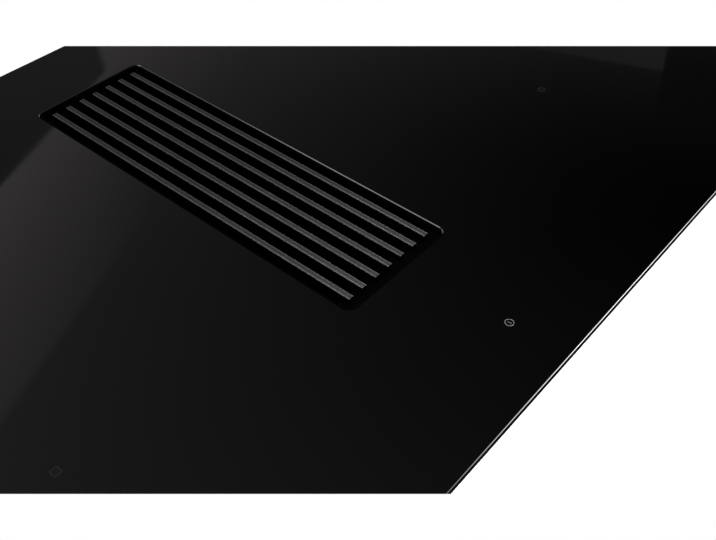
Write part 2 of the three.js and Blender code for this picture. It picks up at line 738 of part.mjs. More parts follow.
const BOARD_W = MODULE_W - FAN_SIZE - 2 * PLATE_T - 4 * MODULE_EDGE;
const BOARD_L = MODULE_L - 2 * BOARD_MARGIN;
const BOARD_X = (MODULE_W - BOARD_W) / 2 - PLATE_T - MODULE_EDGE;
const SINK_X = SINK_W - BOARD_W / 2;
const SINK_L = BOARD_L * 0.45;

// A circuit board on four posts.
function boardOnPosts(width, length) {
  const x = width / 2 - POST_INSET;
  const y = length / 2 - POST_INSET;
  const level = BOARD_POST + BOARD_T / 2;
  const posts = [[-x, -y], [x, -y], [x, y], [-x, y]].map(([px, py]) => disc(POST_R, level, px, py, 0, 8));
  return [block(width, length, BOARD_T, 0, 0, BOARD_POST), ...posts];
}

function powerBoard(name, side) {
  const parts = boardOnPosts(BOARD_W, BOARD_L);
  const level = BOARD_POST + BOARD_T / 2;
  const x = BOARD_W / 2 - PART_INSET;
  for (const share of [0.12, 0.24, 0.36]) {
    parts.push(disc(CAPACITOR_R, CAPACITOR_H, x, share * BOARD_L, level, 10));
  }
  for (const share of [-0.06, -0.2]) {
    parts.push(disc(COIL_CHOKE_R, COIL_CHOKE_H, x - CAPACITOR_R / 3, share * BOARD_L, level, 10));
  }
  parts.push(block(RELAY_W, RELAY_D, RELAY_H, 0, BOARD_L * 0.4, level));
  parts.push(block(BRIDGE_W, BRIDGE_D, BRIDGE_H, x, -BOARD_L * 0.36, level));
  const result = piece(name, joined(parts), BOARD_GREEN);
  result.position.set(side * BOARD_X, 0, 0);
  result.rotation.z = side < 0 ? Math.PI : 0;
  return result;
}

function heatSink(name, side) {
  const gap = (SINK_W - SINK_FIN_T) / (SINK_FINS - 1);
  const line = [[-SINK_W / 2, 0], [SINK_W / 2, 0]];
  for (let i = SINK_FINS - 1; i >= 0; i -= 1) {
    const x = i * gap - SINK_W / 2;
    line.push([x + SINK_FIN_T, SINK_H], [x, SINK_H]);
    if (i > 0) line.push([x, SINK_BASE], [x - gap + SINK_FIN_T, SINK_BASE]);
  }
  const sink = piece(name, solidOf(alongY(polygon(line), -SINK_L / 2, SINK_L)), ALUMINIUM);
  sink.position.set(side * (BOARD_X + SINK_X), 0, BOARD_POST + BOARD_T + CLEAR);
  return sink;
}

function fanFrame(name, side) {
  const outer = slab(roundRect(FAN_SIZE, FAN_SIZE, 5), 0, FAN_H, 2);
  const bore = disc(FAN_R, FAN_H + 2 * CUT, 0, 0, -CUT, 24);
  const spider = [disc(FAN_HUB_R, FAN_WALL, 0, 0, 0, 16)];
  for (let i = 0; i < 4; i += 1) {
    const strut = new THREE.BoxGeometry(FAN_R, FAN_STRUT_W, FAN_WALL);
    strut.translate(FAN_R / 2 + FAN_RIM, 0, FAN_WALL / 2);
    spider.push(solidOf(strut.rotateZ(Math.PI / 4 + i * Math.PI / 2)));
  }
  const frame = piece(name, joined([cut(outer, [bore]), ...spider]), DARK_PLASTIC);
  frame.position.set(side * COOLER_X, side * COOLER_Y, 0);
  return frame;
}

function fanRotor(name, side) {
  const height = FAN_H - FAN_WALL - 2 * CLEAR;
  const parts = [disc(FAN_HUB_R, height, 0, 0, 0, 21)];
  const inner = FAN_HUB_R * 0.8;
  const reach = Math.sqrt((FAN_R - FAN_TIP) ** 2 - FAN_CHORD ** 2) - inner;
  const edge = FAN_BLADE_T;
  const lean = [[-FAN_CHORD, edge], [-FAN_CHORD / 3, height * 0.24], [FAN_CHORD, height - edge]];
  for (let i = 0; i < FAN_BLADES; i += 1) {
    const blade = alongX(strip(lean, FAN_BLADE_T), inner, reach);
    parts.push(solidOf(blade.rotateZ(2 * Math.PI * i / FAN_BLADES)));
  }
  const rotor = piece(name, joined(parts), GREY_PLASTIC);
  rotor.position.set(side * COOLER_X, side * COOLER_Y, FAN_WALL + CLEAR);
  return rotor;
}

function inductionModule(name, side) {
  return group(
    side * MODULE_X, MODULE_Y, Z_FLOOR,
    coilPlate(`coil_plate_${name}`),
    coilCarrier(`coil_carrier_${name}_front`, -COIL_Y),
    coilCarrier(`coil_carrier_${name}_back`, COIL_Y),
    coilWinding(`coil_winding_${name}_front`, -COIL_Y),
    coilWinding(`coil_winding_${name}_back`, COIL_Y),
    feltSheet(`felt_${name}`),
    powerBoard(`power_board_${name}`, side),
    heatSink(`heat_sink_${name}`, side),
    fanFrame(`fan_frame_${name}`, side),
    fanRotor(`fan_rotor_${name}`, side),
  );
}

// Mains filter, on the casing's floor between the well and the left module.
function filterBoard() {
  const width = MODULE_GAP - 3 * MODULE_EDGE;
  const parts = boardOnPosts(width, FILTER_BOARD_L);
  const level = BOARD_POST + BOARD_T / 2;
  parts.push(disc(CAPACITOR_R, CAPACITOR_H, 0, 0, level, 12));
  for (const row of [-1, 1]) {
    const y = row * FILTER_BOARD_L * 0.24;
    parts.push(block(width - 2 * POST_R, FILTER_BLOCK_L, FILTER_BLOCK_H, 0, y, level));
  }
  const result = piece('mains_filter_board', joined(parts), BOARD_GREEN);
  result.position.set(-MODULE_IN + MODULE_GAP / 2, MODULE_Y, Z_FLOOR);
  return result;
}

function touchBoard() {
  const board = block(TOUCH_W, TOUCH_D - 2 * MODULE_EDGE, BOARD_T, 0, 0, 0);
  const pads = [];
  for (let i = -3; i <= 3; i += 1) {
    pads.push(disc(TOUCH_PAD_R, TOUCH_H - BOARD_T / 2, i * TOUCH_W / 8, 0, BOARD_T / 2, 8));
  }
  const result = piece('touch_board', joined([board, ...pads]), BOARD_GREEN);
  const y = MODULE_FRONT - MODULE_EDGE - TOUCH_D / 2;
  result.position.set(0, y, Z_GLASS - CLEAR - TOUCH_H);
  return result;
}

// ---------------------------------------------------------------------------------------------------
// Plenum tub under the well, the cradle it stands on, and the collecting tray that slides in the cradle

const HOOD_INSIDE = HOOD_D - 2 * HOOD_T;

function plenumTub() {
  const outer = slab(roundRect(TUB_W, TUB_L, TUB_R), 0, TUB_H);
  const inner = slab(roundRect(TUB_W - 2 * TUB_T, TUB_L - 2 * TUB_T, TUB_R - TUB_T), TUB_T, TUB_H);
  const low = Z_HOOD - Z_TUB + HOOD_T;
  const window = block(3 * TUB_T, HOOD_INSIDE, HOOD_H - 2 * HOOD_T, TUB_W / 2, FAN_Y - INTAKE_Y, low);
  const spout = disc(SPOUT_R + TUB_T, SPOUT_H + TUB_T, 0, 0, -SPOUT_H);
  const drain = disc(SPOUT_R, SPOUT_H + 3 * TUB_T, 0, 0, -SPOUT_H - TUB_T);
  return piece('plenum_tub', cut(joined([cut(outer, [inner, window]), spout]), [drain]), DARK_PLASTIC);
}

function trayCradle() {
  const outer = slab(roundRect(TUB_W, TUB_L, TUB_R), 0, CRADLE_H);
  const inside = TUB_W - 2 * CRADLE_T;
  const run = TUB_L - CRADLE_T + CUT;
  const hollow = block(inside, run, CRADLE_H, 0, -TUB_L / 2 - CUT + run / 2, CRADLE_T);
  return piece('tray_cradle', cut(outer, [hollow]), SHEET_STEEL);
}

function collectingTray() {
  const width = TUB_W - 2 * CRADLE_T - 2 * TRAY_FIT;
  const outer = slab(roundRect(width, TRAY_L, TRAY_R), 0, TRAY_H);
  const inner = slab(roundRect(width - 2 * TRAY_T, TRAY_L - 2 * TRAY_T, TRAY_R - TRAY_T), TRAY_T, TRAY_H);
  const grip = slab(roundRect(GRIP_W, 2 * GRIP_D, GRIP_T, 0, -TRAY_L / 2), TRAY_H - GRIP_T, GRIP_T);
  const tray = piece('collecting_tray', joined([outer, grip]).subtract(inner), PALE_PLASTIC);
  tray.position.set(0, GRIP_D + TRAY_L / 2 - TUB_L / 2, CRADLE_T + CLEAR);
  return tray;
}

function plenum() {
  const tub = plenumTub();
  tub.position.z = Z_TUB;
  return group(0, INTAKE_Y, 0, wellLiner(), tub, trayCradle(), collectingTray());
}

// ---------------------------------------------------------------------------------------------------
// Blower. Its group's origin is on the impeller's axis, on the base plane; the impeller turns
// anticlockwise seen from above, and the air leaves towards the back.

function scrollRadius(angle) {
  const turn = (angle - TONGUE_ANGLE) / (2 * Math.PI - TONGUE_ANGLE);
  return IMPELLER_R + TONGUE_GAP + SCROLL_GROWTH * turn;
}

const SCROLL_LEFT = scrollRadius(1.1 * Math.PI) + SCROLL_T;
const FAN_X = TUB_W / 2 + SCROLL_SPACE + SCROLL_LEFT;
const SCROLL_REACH = IMPELLER_R + TONGUE_GAP + SCROLL_GROWTH;
const DUCT_INSIDE = DUCT_W - 2 * DUCT_T;
const DUCT_X = SCROLL_REACH - DUCT_INSIDE / 2;
const SCROLL_BACK = GLASS_D / 2 - DUCT_SETBACK - DUCT_L - DUCT_FLANGE_T - CLEAR - FAN_Y;

// The spiral from the tongue round to the outlet, a wall's width outside the air.
function spiralLine(grow) {
  const steps = 32;
  return Array.from({ length: steps + 1 }, (_, i) => {
    const angle = TONGUE_ANGLE + (2 * Math.PI - TONGUE_ANGLE) * i / steps;
    const r = scrollRadius(angle) + grow;
    return [r * Math.cos(angle), r * Math.sin(angle)];
  });
}

// The outlet channel's inner side, from the duct back to the tongue.
function channelLine(back) {
  const start = scrollRadius(TONGUE_ANGLE);
  const left = SCROLL_REACH - DUCT_INSIDE;
  return [
    [left, back], [left, SCROLL_BACK - DUCT_FLANGE_T],
    [start * Math.cos(TONGUE_ANGLE) / 2, scrollRadius(Math.PI / 2) + 2 * SCROLL_T + KNEE_SPACE],
    [start * Math.cos(TONGUE_ANGLE), start * Math.sin(TONGUE_ANGLE)],
  ];
}

// The scroll's outside: the spiral and the channel, with a wall all round.
function scrollBody(z, height) {
  const edge = SCROLL_REACH + SCROLL_T;
  const spiral = polygon([[0, 0], ...spiralLine(SCROLL_T)]);
  const channel = polygon([
    [0, -SCROLL_T], [edge - SCROLL_T / 2, -SCROLL_T], [edge, SCROLL_T], [edge, SCROLL_BACK],
    ...offsetLine(channelLine(SCROLL_BACK), -SCROLL_T),
  ]);
  return slab(spiral, z, height).add(slab(channel, z, height));
}

function scrollHousing() {
  const outer = scrollBody(0, SCROLL_H);
  const back = SCROLL_BACK + CUT;
  const air = [...spiralLine(0), [SCROLL_REACH, back], ...channelLine(back).slice(0, -1)];
  const room = slab(polygon(air), SCROLL_FLOOR, SCROLL_H);
  const ringR = MOTOR_FOOT_R + FOOT_RING_FIT;
  const low = SCROLL_FLOOR / 2;
  const high = SCROLL_FLOOR + FOOT_RING_H;
  const edge = ringR + FOOT_RING_T;
  const ring = solidOf(turned([[ringR, low], [edge, low], [edge, high], [ringR, high]]));
  return piece('scroll_housing', cut(outer, [room]).add(ring), GREY_PLASTIC);
}

function scrollCover() {
  const plate = scrollBody(Z_COVER, COVER_T);
  const bend = BELL_H * 0.8;
  const eye = disc(EYE_R + bend - COVER_T / 2, COVER_T + 2 * CUT, 0, 0, Z_COVER - CUT, 32);
  const low = Z_COVER + COVER_T - BELL_H;
  const top = Z_COVER + COVER_T;
  const inner = [];
  const outer = [];
  for (let i = 0; i <= 2; i += 1) {
    const angle = Math.PI / 4 * i;
    const r = EYE_R + bend * (1 - Math.cos(angle));
    const z = top - bend * (1 - Math.sin(angle));
    inner.push([r, z]);
    outer.push([r + COVER_T * Math.cos(angle), z - COVER_T * Math.sin(angle)]);
  }
  const profile = [[EYE_R + COVER_T, low], [EYE_R, low], ...inner, ...outer.reverse()];
  return piece('scroll_cover', cut(plate, [eye]).add(solidOf(turned(profile, 32))), GREY_PLASTIC);
}

const IMPELLER_Z = SCROLL_FLOOR + IMPELLER_LIFT;
const HUB_R = MOTOR_R + MOTOR_T + CLEAR;

// The hub's cup over the motor, and the back plate that the blades stand on.
function hubProfile() {
  const crown = MOTOR_H + MOTOR_T;
  const bevel = 2 * MOTOR_T;
  return [
    [0, crown], [HUB_R - bevel, crown], [HUB_R, crown - bevel], [HUB_R + BLADE_T, BLADE_T],
    [IMPELLER_R, BLADE_T], [IMPELLER_R, 0], [HUB_R, 0], [HUB_R - BLADE_T, crown - bevel - MOTOR_T],
    [HUB_R - bevel - BLADE_T, crown - BLADE_T], [0, crown - BLADE_T],
  ];
}

function bladeLine(turn) {
  const inner = HUB_R + BLADE_START;
  const steps = 4;
  return Array.from({ length: steps + 1 }, (_, k) => {
    const r = inner + (IMPELLER_R - BLADE_T - inner) * k / steps;
    const angle = turn - BLADE_SWEEP * (k / steps) ** 1.2;
    return [r * Math.cos(angle), r * Math.sin(angle)];
  });
}

function impeller() {
  const lip = EYE_R + BELL_FIT + COVER_T;
  const rim = IMPELLER_H - SHROUD_DROP;
  const throat = lip + 1.5 * BLADE_T;
  const shroud = [
    [lip, IMPELLER_H + SHROUD_LIP], [lip + BLADE_T, IMPELLER_H + SHROUD_LIP],
    [throat + BLADE_T, IMPELLER_H - BLADE_T / 2], [IMPELLER_R, rim], [IMPELLER_R, rim - BLADE_T],
    [throat, IMPELLER_H - 2 * BLADE_T],
  ];
  const blades = Array.from({ length: IMPELLER_BLADES }, (_, i) => {
    const line = bladeLine(2 * Math.PI * i / IMPELLER_BLADES);
    return slab(strip(line, BLADE_T), BLADE_T / 2, IMPELLER_H - BLADE_T);
  });
  // The blades end under the shroud, so what stands above its slope is cut away.
  const reach = IMPELLER_R + CUT;
  const above = [
    [HUB_R / 2, IMPELLER_H - 1.5 * BLADE_T], [throat, IMPELLER_H - 1.5 * BLADE_T],
    [reach, rim - BLADE_T / 2], [reach, IMPELLER_H + CUT], [HUB_R / 2, IMPELLER_H + CUT],
  ];
  const trimmed = joined(blades).subtract(solidOf(turned(above, 32)));
  const body = joined([solidOf(turned(hubProfile(), 32)), solidOf(turned(shroud, 32)), trimmed]);
  const wheel = piece('impeller', body, DARK_PLASTIC);
  wheel.position.z = IMPELLER_Z;
  return wheel;
}

const ROTOR_TOP = IMPELLER_LIFT + MOTOR_H - BLADE_T - 2 * CLEAR;
const ROTOR_R = MOTOR_R - BLADE_T;
const ROTOR_ROOF = ROTOR_TOP - MOTOR_T - MOTOR_CHAMFER;

function motorRotor() {
  const low = IMPELLER_LIFT * 0.4;
  const cup = [
    [0, ROTOR_TOP], [ROTOR_R - MOTOR_CHAMFER / 2, ROTOR_TOP], [ROTOR_R, ROTOR_TOP - MOTOR_CHAMFER - 1],
    [ROTOR_R, low], [ROTOR_R - MOTOR_T, low], [ROTOR_R - MOTOR_T, ROTOR_ROOF], [0, ROTOR_ROOF],
  ];
  const rotor = piece('motor_rotor', solidOf(turned(cup, 24)), ALUMINIUM);
  rotor.position.z = SCROLL_FLOOR;
  return rotor;
}

function motorBase() {
  const core = ROTOR_R - MOTOR_T - ROTOR_AIR;
  const top = ROTOR_ROOF - ROTOR_AIR;
  const stator = [
    [0, top], [core - 2 * MOTOR_CHAMFER, top], [core - 2 * MOTOR_CHAMFER, top - MOTOR_CHAMFER],
    [core, top - MOTOR_CHAMFER], [core, MOTOR_FOOT_H + 1], [MOTOR_FOOT_R, MOTOR_FOOT_H], [MOTOR_FOOT_R, 0],
    [0, 0],
  ];
  const base = piece('motor_base', solidOf(turned(stator, 24)), SHEET_STEEL);
  base.position.z = SCROLL_FLOOR + CLEAR;
  return base;
}

function suctionHood() {
  const left = TUB_W / 2 + CLEAR - FAN_X;
  const shapes = [0, HOOD_T].map((inset) => {
    const r = HOOD_D / 2 - inset;
    const shape = new THREE.Shape();
    const start = left - (inset > 0 ? CUT : 0);
    shape.moveTo(start, -r);
    shape.lineTo(0, -r);
    shape.absarc(0, 0, r, -Math.PI / 2, Math.PI / 2);
    shape.lineTo(start, r);
    return shape;
  });
  const outer = slab(shapes[0], Z_HOOD, HOOD_H, 8);
  const inner = slab(shapes[1], Z_HOOD + HOOD_T, HOOD_H - 2 * HOOD_T, 8);
  const eye = disc(EYE_R + BELL_H, HOOD_T + 2 * CUT, 0, 0, Z_HOOD - CUT, 32);
  return piece('suction_hood', cut(outer, [inner, eye]), DARK_PLASTIC);
}

// ---------------------------------------------------------------------------------------------------
// Outlet spigot with its hanging non-return flap. The group's origin is the middle of the duct, at the
// back of the scroll.

const DUCT_Z = SCROLL_FLOOR + DUCT_H / 2;
const PIN_Y = CLEAR + DUCT_FLANGE_T + FLAP_BACK;
const PIN_Z = DUCT_H / 2 - DUCT_T - PIN_DROP;

function slabY(shape, y, length) {
  return solidOf(alongY(shape, y, length, 2));
}

// A round bar, or its hole, on the flap's axis.
function pinBar(radius, length) {
  return solidOf(alongX(circle(radius, PIN_Y, PIN_Z), -length / 2, length, 6));
}

function outletSpigot() {
  const flangeH = Math.min(DUCT_H + 2 * DUCT_FLANGE, 2 * DUCT_Z - 1);
  const tube = slabY(roundRect(DUCT_W, DUCT_H, DUCT_R), CLEAR, DUCT_FLANGE_T + DUCT_L);
  const flange = slabY(roundRect(DUCT_W + 2 * DUCT_FLANGE, flangeH, DUCT_R), CLEAR, DUCT_FLANGE_T);
  const mouth = roundRect(DUCT_INSIDE, DUCT_H - 2 * DUCT_T, DUCT_R - DUCT_T);
  const bore = slabY(mouth, CLEAR - CUT, DUCT_FLANGE_T + DUCT_L + 2 * CUT);
  const frame = roundRect(DUCT_W - DUCT_T, DUCT_H - DUCT_T, DUCT_R - DUCT_T / 2);
  frame.holes.push(roundRect(DUCT_INSIDE - 2 * STOP_H, DUCT_H - 2 * DUCT_T - 2 * STOP_H, DUCT_R / 2));
  const stop = slabY(frame, PIN_Y - KNUCKLE_R - CLEAR - STOP_T, STOP_T);
  const shell = joined([cut(joined([tube, flange]), [bore]), stop]);
  return piece('outlet_spigot', cut(shell, [pinBar(PIN_BORE, DUCT_W + 2 * CUT)]), DARK_PLASTIC);
}

function flapPin() {
  return piece('flap_pin', pinBar(PIN_R, DUCT_W - DUCT_T), STAINLESS);
}

function backdraftFlap() {
  const width = DUCT_INSIDE - 2 * FLAP_FIT;
  const low = FLAP_FIT - DUCT_H / 2 + DUCT_T;
  const plate = block(width, FLAP_T, PIN_Z - low, 0, PIN_Y - KNUCKLE_R + FLAP_T / 2, low);
  const bore = pinBar(PIN_BORE, width + 2 * CUT);
  return piece('backdraft_flap', cut(joined([plate, pinBar(KNUCKLE_R, width)]), [bore]), GREY_PLASTIC);
}

function blower() {
  const outlet = group(DUCT_X, SCROLL_BACK, DUCT_Z, outletSpigot(), flapPin(), backdraftFlap());
  return group(
    FAN_X, FAN_Y, 0, scrollHousing(), scrollCover(), impeller(), motorRotor(), motorBase(), suctionHood(),
    outlet,
  );
}

// ---------------------------------------------------------------------------------------------------
// Mains connection: a box under the casing's back left with a lid, a terminal block and a cable gland.
// The group's origin is the middle of the box, at its top.

const TERMINAL_Y = CASING_D / 2 - TERMINAL_BACK - TERMINAL_D / 2;

function terminalBox() {
  const outer = slab(roundRect(TERMINAL_W, TERMINAL_D, 3), -TERMINAL_H, TERMINAL_H, 2);
  const room = roundRect(TERMINAL_W - 2 * TERMINAL_T, TERMINAL_D - 2 * TERMINAL_T, 1.5);
  const inner = slab(room, -TERMINAL_H - CUT, TERMINAL_H + CUT - TERMINAL_T, 2);
  const round = circle(GLAND_R + CLEAR, 0, -TERMINAL_H / 2);
  const hole = solidOf(alongY(round, TERMINAL_D / 2 - 2 * TERMINAL_T, 4 * TERMINAL_T, 8));
  return piece('terminal_box', cut(outer, [inner, hole]), GREY_PLASTIC);
}

function terminalLid() {
  const lid = slab(roundRect(TERMINAL_W, TERMINAL_D, 3), -TERMINAL_H - CLEAR - TERMINAL_T, TERMINAL_T, 2);
  return piece('terminal_lid', lid, GREY_PLASTIC);
}

function terminalBlock() {
  const foot = block(POLES * POLE_W, BLOCK_FOOT_D, BLOCK_FOOT_H, 0, 0, -BLOCK_FOOT_H);
  const poles = [];
  for (let i = 0; i < POLES; i += 1) {
    const x = (i - (POLES - 1) / 2) * POLE_W;
    poles.push(block(POLE_W - POLE_GAP, POLE_D, POLE_H + 1, x, 0, -BLOCK_FOOT_H - POLE_H));
  }
  const result = piece('terminal_block', joined([foot, ...poles]), PALE_PLASTIC);
  result.position.set(0, -TERMINAL_D / 8, -TERMINAL_T - CLEAR);
  return result;
}

function cableGland() {
  const start = TERMINAL_D / 2 - TERMINAL_T - GLAND_GRIP;
  const face = TERMINAL_D / 2 + CLEAR;
  const end = face + GLAND_L * 0.6;
  const profile = [
    [GLAND_BORE_R, 0], [GLAND_R, 0], [GLAND_R, face - start], [GLAND_NUT_R, face - start],
    [GLAND_NUT_R, face - start + GLAND_L * 0.25], [GLAND_R + 1, face - start + GLAND_L * 0.25],
    [GLAND_R, end - start], [GLAND_BORE_R, end - start],
  ];
  const gland = turned(profile, 16).rotateX(-Math.PI / 2).translate(0, start, -TERMINAL_H / 2);
  return piece('cable_gland', solidOf(gland), DARK_PLASTIC);
}

function mainsConnection() {
  return group(
    TERMINAL_X, TERMINAL_Y, Z_CASING - CLEAR, terminalBox(), terminalLid(), terminalBlock(), cableGland(),
  );
}

// ---------------------------------------------------------------------------------------------------
// The whole cooktop

const cooktop = group(
  0, 0, 0,
  glassPlate(),
  worktopSeal(),
  wellSeal(),
  grille(),
  greaseFilter(),
  casing(),
  clampBracket('clamp_bracket_left_front', -1, -BRACKET_Y),
  clampBracket('clamp_bracket_left_back', -1, BRACKET_Y),
  clampBracket('clamp_bracket_right_front', 1, -BRACKET_Y),
  clampBracket('clamp_bracket_right_back', 1, BRACKET_Y),
  inductionModule('left', -1),
  inductionModule('right', 1),
  filterBoard(),
  touchBoard(),
  plenum(),
  blower(),
  mainsConnection(),
);

export default cooktop;
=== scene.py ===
# Downdraft induction cooktop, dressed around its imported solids. Metres; +X right, +Y back, +Z up.

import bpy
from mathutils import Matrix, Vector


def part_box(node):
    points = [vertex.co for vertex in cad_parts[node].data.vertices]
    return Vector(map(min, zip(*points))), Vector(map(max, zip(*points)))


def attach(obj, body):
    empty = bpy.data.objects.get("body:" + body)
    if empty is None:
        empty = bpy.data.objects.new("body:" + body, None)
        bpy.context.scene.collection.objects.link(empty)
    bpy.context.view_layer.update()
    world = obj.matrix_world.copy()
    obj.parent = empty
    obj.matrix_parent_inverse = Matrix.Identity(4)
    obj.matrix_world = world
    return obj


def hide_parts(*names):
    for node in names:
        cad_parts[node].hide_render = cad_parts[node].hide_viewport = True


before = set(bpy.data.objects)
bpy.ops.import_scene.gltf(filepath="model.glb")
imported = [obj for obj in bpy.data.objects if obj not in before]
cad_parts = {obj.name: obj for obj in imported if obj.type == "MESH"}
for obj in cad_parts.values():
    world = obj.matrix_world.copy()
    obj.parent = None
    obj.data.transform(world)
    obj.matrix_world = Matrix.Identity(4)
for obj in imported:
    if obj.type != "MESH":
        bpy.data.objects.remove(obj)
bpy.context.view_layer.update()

# ----------------------------------------
# Camera: stands to the front left of the hob and looks down over it, with a slightly long lens. Its place
# and tilt come from the vanishing points of the slats and the front edge.

IMAGE_W = 716
IMAGE_H = 540
FOCAL_PX = 899.93
SENSOR = 36.0
NEAREST_SEEN = 0.002
VIEWPOINT = Vector((-0.3381, -0.3873, 0.6207))
FORWARD = Vector((0.54534, 0.46113, -0.69999)).normalized()
RIGHT = FORWARD.cross(Vector((0.53117, 0.45493, 0.71477))).normalized()
UP = RIGHT.cross(FORWARD)


def link(name, data):
    """Puts new data in the scene, as an object of that name."""
    thing = bpy.data.objects.new(name, data)
    bpy.context.scene.collection.objects.link(thing)
    return thing


lens = bpy.data.cameras.new("photo_camera")
lens.sensor_fit = "HORIZONTAL"
lens.sensor_width = SENSOR
lens.lens = FOCAL_PX / IMAGE_W * SENSOR
lens.clip_start = NEAREST_SEEN
camera = link("photo_camera", lens)
camera.matrix_world = Matrix.Translation(VIEWPOINT) @ Matrix((RIGHT, UP, -FORWARD)).transposed().to_4x4()
bpy.context.scene.camera = camera

# ----------------------------------------
# Studio: a pale floor and white surroundings, soft lamps, and a dark ceiling with one dim light band that
# only shows in polished surfaces. Two white mount cards close the picture above and below.

import math

CORNERS = ((-1, -1), (1, -1), (1, 1), (-1, 1))


def flat_card(name, finish, corners):
    mesh = bpy.data.meshes.new(name)
    mesh.from_pydata([tuple(c) for c in corners], [], [tuple(range(len(corners)))])
    mesh.materials.append(finish)
    card = link(name, mesh)
    return card


def seen_only_by(card, kind):
    """Lets rays of one kind meet the card, and all others pass."""
    for ray in ("camera", "diffuse", "glossy", "transmission", "volume_scatter", "shadow"):
        setattr(card, "visible_" + ray, ray == kind)


def blank(name):
    """A new material with no nodes yet, and its node tree."""
    made = bpy.data.materials.new(name)
    made.use_nodes = True
    made.node_tree.nodes.clear()
    return made, made.node_tree


def add_node(tree, kind, inputs=(), **settings):
    """Adds a shader node. Its inputs take numbers, colours, or the sockets that feed them."""
    made = tree.nodes.new("ShaderNode" + kind)
    for name, value in settings.items():
        setattr(made, name, value)
    for place, value in dict(inputs).items():
        if isinstance(value, bpy.types.NodeSocket):
            tree.links.new(value, made.inputs[place])
        else:
            made.inputs[place].default_value = value
    return made


def own_place(tree):
    """A place in the piece's own metres."""
    return add_node(tree, "TexCoord").outputs["Object"]


def show(tree, shader):
    """Puts a shader on the material's output."""
    add_node(tree, "OutputMaterial", {"Surface": shader.outputs[0]})


def calc(tree, operation, *values):
    """One step of arithmetic on sockets or plain numbers."""
    return add_node(tree, "Math", enumerate(values), operation=operation).outputs[0]


def added(tree, total, *terms):
    """A start with patterns added to it, each as (pattern, weight)."""
    for pattern, weight in terms:
        total = calc(tree, "MULTIPLY_ADD", pattern, weight, total)
    return total


def spread(tree, value, low, high, start=0.3, end=0.7, kind="LINEAR"):
    """The value brought from its own range into another."""
    ranges = {"Value": value, "From Min": start, "From Max": end, "To Min": low, "To Max": high}
    return add_node(tree, "MapRange", ranges, interpolation_type=kind).outputs[0]


def seen_straight(tree):
    """1 for what the camera sees directly, mirrored or through glass, and 0 for light on other things."""
    rays = add_node(tree, "LightPath").outputs
    straight = calc(tree, "MAXIMUM", rays["Is Camera Ray"], rays["Is Glossy Ray"])
    return calc(tree, "MAXIMUM", straight, rays["Is Transmission Ray"])


# The floor is a pale diffuse sheet. Straight to the camera it is lifted to white, and its shadow stays.
FLOOR_HALF = 30.0
FLOOR_DROP = 0.0003
FLOOR_PALE = 0.82
LIFT_NEAR = 0.52
LIFT_FAR = 0.74
LIFT_START = 0.7
LIFT_END = 1.8

pale_floor, tree = blank("pale_floor")
paper = add_node(tree, "BsdfDiffuse", {"Color": (FLOOR_PALE, FLOOR_PALE, FLOOR_PALE, 1)})
far_away = add_node(tree, "VectorMath", {0: own_place(tree)}, operation="LENGTH")
fade = spread(tree, far_away.outputs["Value"], LIFT_NEAR, LIFT_FAR, LIFT_START, LIFT_END, "SMOOTHSTEP")
lift = add_node(tree, "Emission", {"Strength": calc(tree, "MULTIPLY", seen_straight(tree), fade)})
both = add_node(tree, "AddShader", {0: paper.outputs[0], 1: lift.outputs[0]})
show(tree, both)
flat_card("floor", pale_floor, [(x * FLOOR_HALF, y * FLOOR_HALF, -FLOOR_DROP) for x, y in CORNERS])

WORLD_FILL = 0.32
world = bpy.data.worlds.new("white_surroundings")
bpy.context.scene.world = world
world.use_nodes = True
tree = world.node_tree
tree.nodes.clear()
brightness = calc(tree, "MULTIPLY_ADD", seen_straight(tree), 1 - WORLD_FILL, WORLD_FILL)
sky = add_node(tree, "Background", {"Color": (1, 1, 1, 1), "Strength": brightness})
add_node(tree, "OutputWorld", {"Surface": sky.outputs[0]})


def lamp(name, place, aim, size, power):
    """A square soft lamp. It lights the hob, and doesn't mirror in it."""
    light = bpy.data.lights.new(name, "AREA")
    light.shape = "SQUARE"
    light.size = size
    light.energy = power
    holder = link(name, light)
    turn = (Vector(aim) - Vector(place)).to_track_quat("-Z", "Y")
    holder.matrix_world = Matrix.Translation(place) @ turn.to_matrix().to_4x4()
    holder.visible_glossy = False
    return light


LAMP_Z = 0.62
LAMP_AIM = (0, 0, 0.15)
key = lamp("key_lamp", (-0.06, -0.42, 0.74), (-0.02, -0.36, 0.2), size=0.34, power=2.0)
key.spread = math.radians(75)
for name, x, y in (("left", -2.6, -0.9), ("front", 0.9, -2.6), ("right", 2.6, 0.9), ("back", -0.9, 2.6)):
    lamp(name + "_lamp", (x, y, LAMP_Z), LAMP_AIM, size=1.1, power=34)

# The ceiling is drawn at the size it has when mirrored in the glass, and scaled up to its height over the
# point where the camera's mirror image stands.
GLASS_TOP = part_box("glass_plate")[1].z
CEILING_Z = 2.6
CEILING_HALF = 14.0
MIRROR_Z = 2 * GLASS_TOP - VIEWPOINT.z
MIRROR_SCALE = (CEILING_Z - MIRROR_Z) / (GLASS_TOP - MIRROR_Z)


def place_on(tree, kind):
    """The X, Y and Z of a texture coordinate."""
    where = add_node(tree, "TexCoord").outputs[kind]
    return add_node(tree, "SeparateXYZ", {0: where}).outputs


dim_ceiling, tree = blank("dim_ceiling")
card_x, card_y = place_on(tree, "Object")[:2]


def along(dx, dy, shift):
    """Distance over the ceiling along a direction, from a start."""
    return added(tree, shift, (card_y, dy), (card_x, dx))


def past(value, edge, softness):
    """0 below the edge and 1 above it, with a soft change."""
    return spread(tree, value, 0, 1, edge - softness, edge + softness, "SMOOTHSTEP")


def outside(share):
    return calc(tree, "SUBTRACT", 1.0, share)


def inside(first, second):
    return calc(tree, "MULTIPLY", first, second)


def mixed(share, low, high):
    """low where share is 0 and high where it is 1."""
    return added(tree, 0.0, (outside(share), low), (share, high))


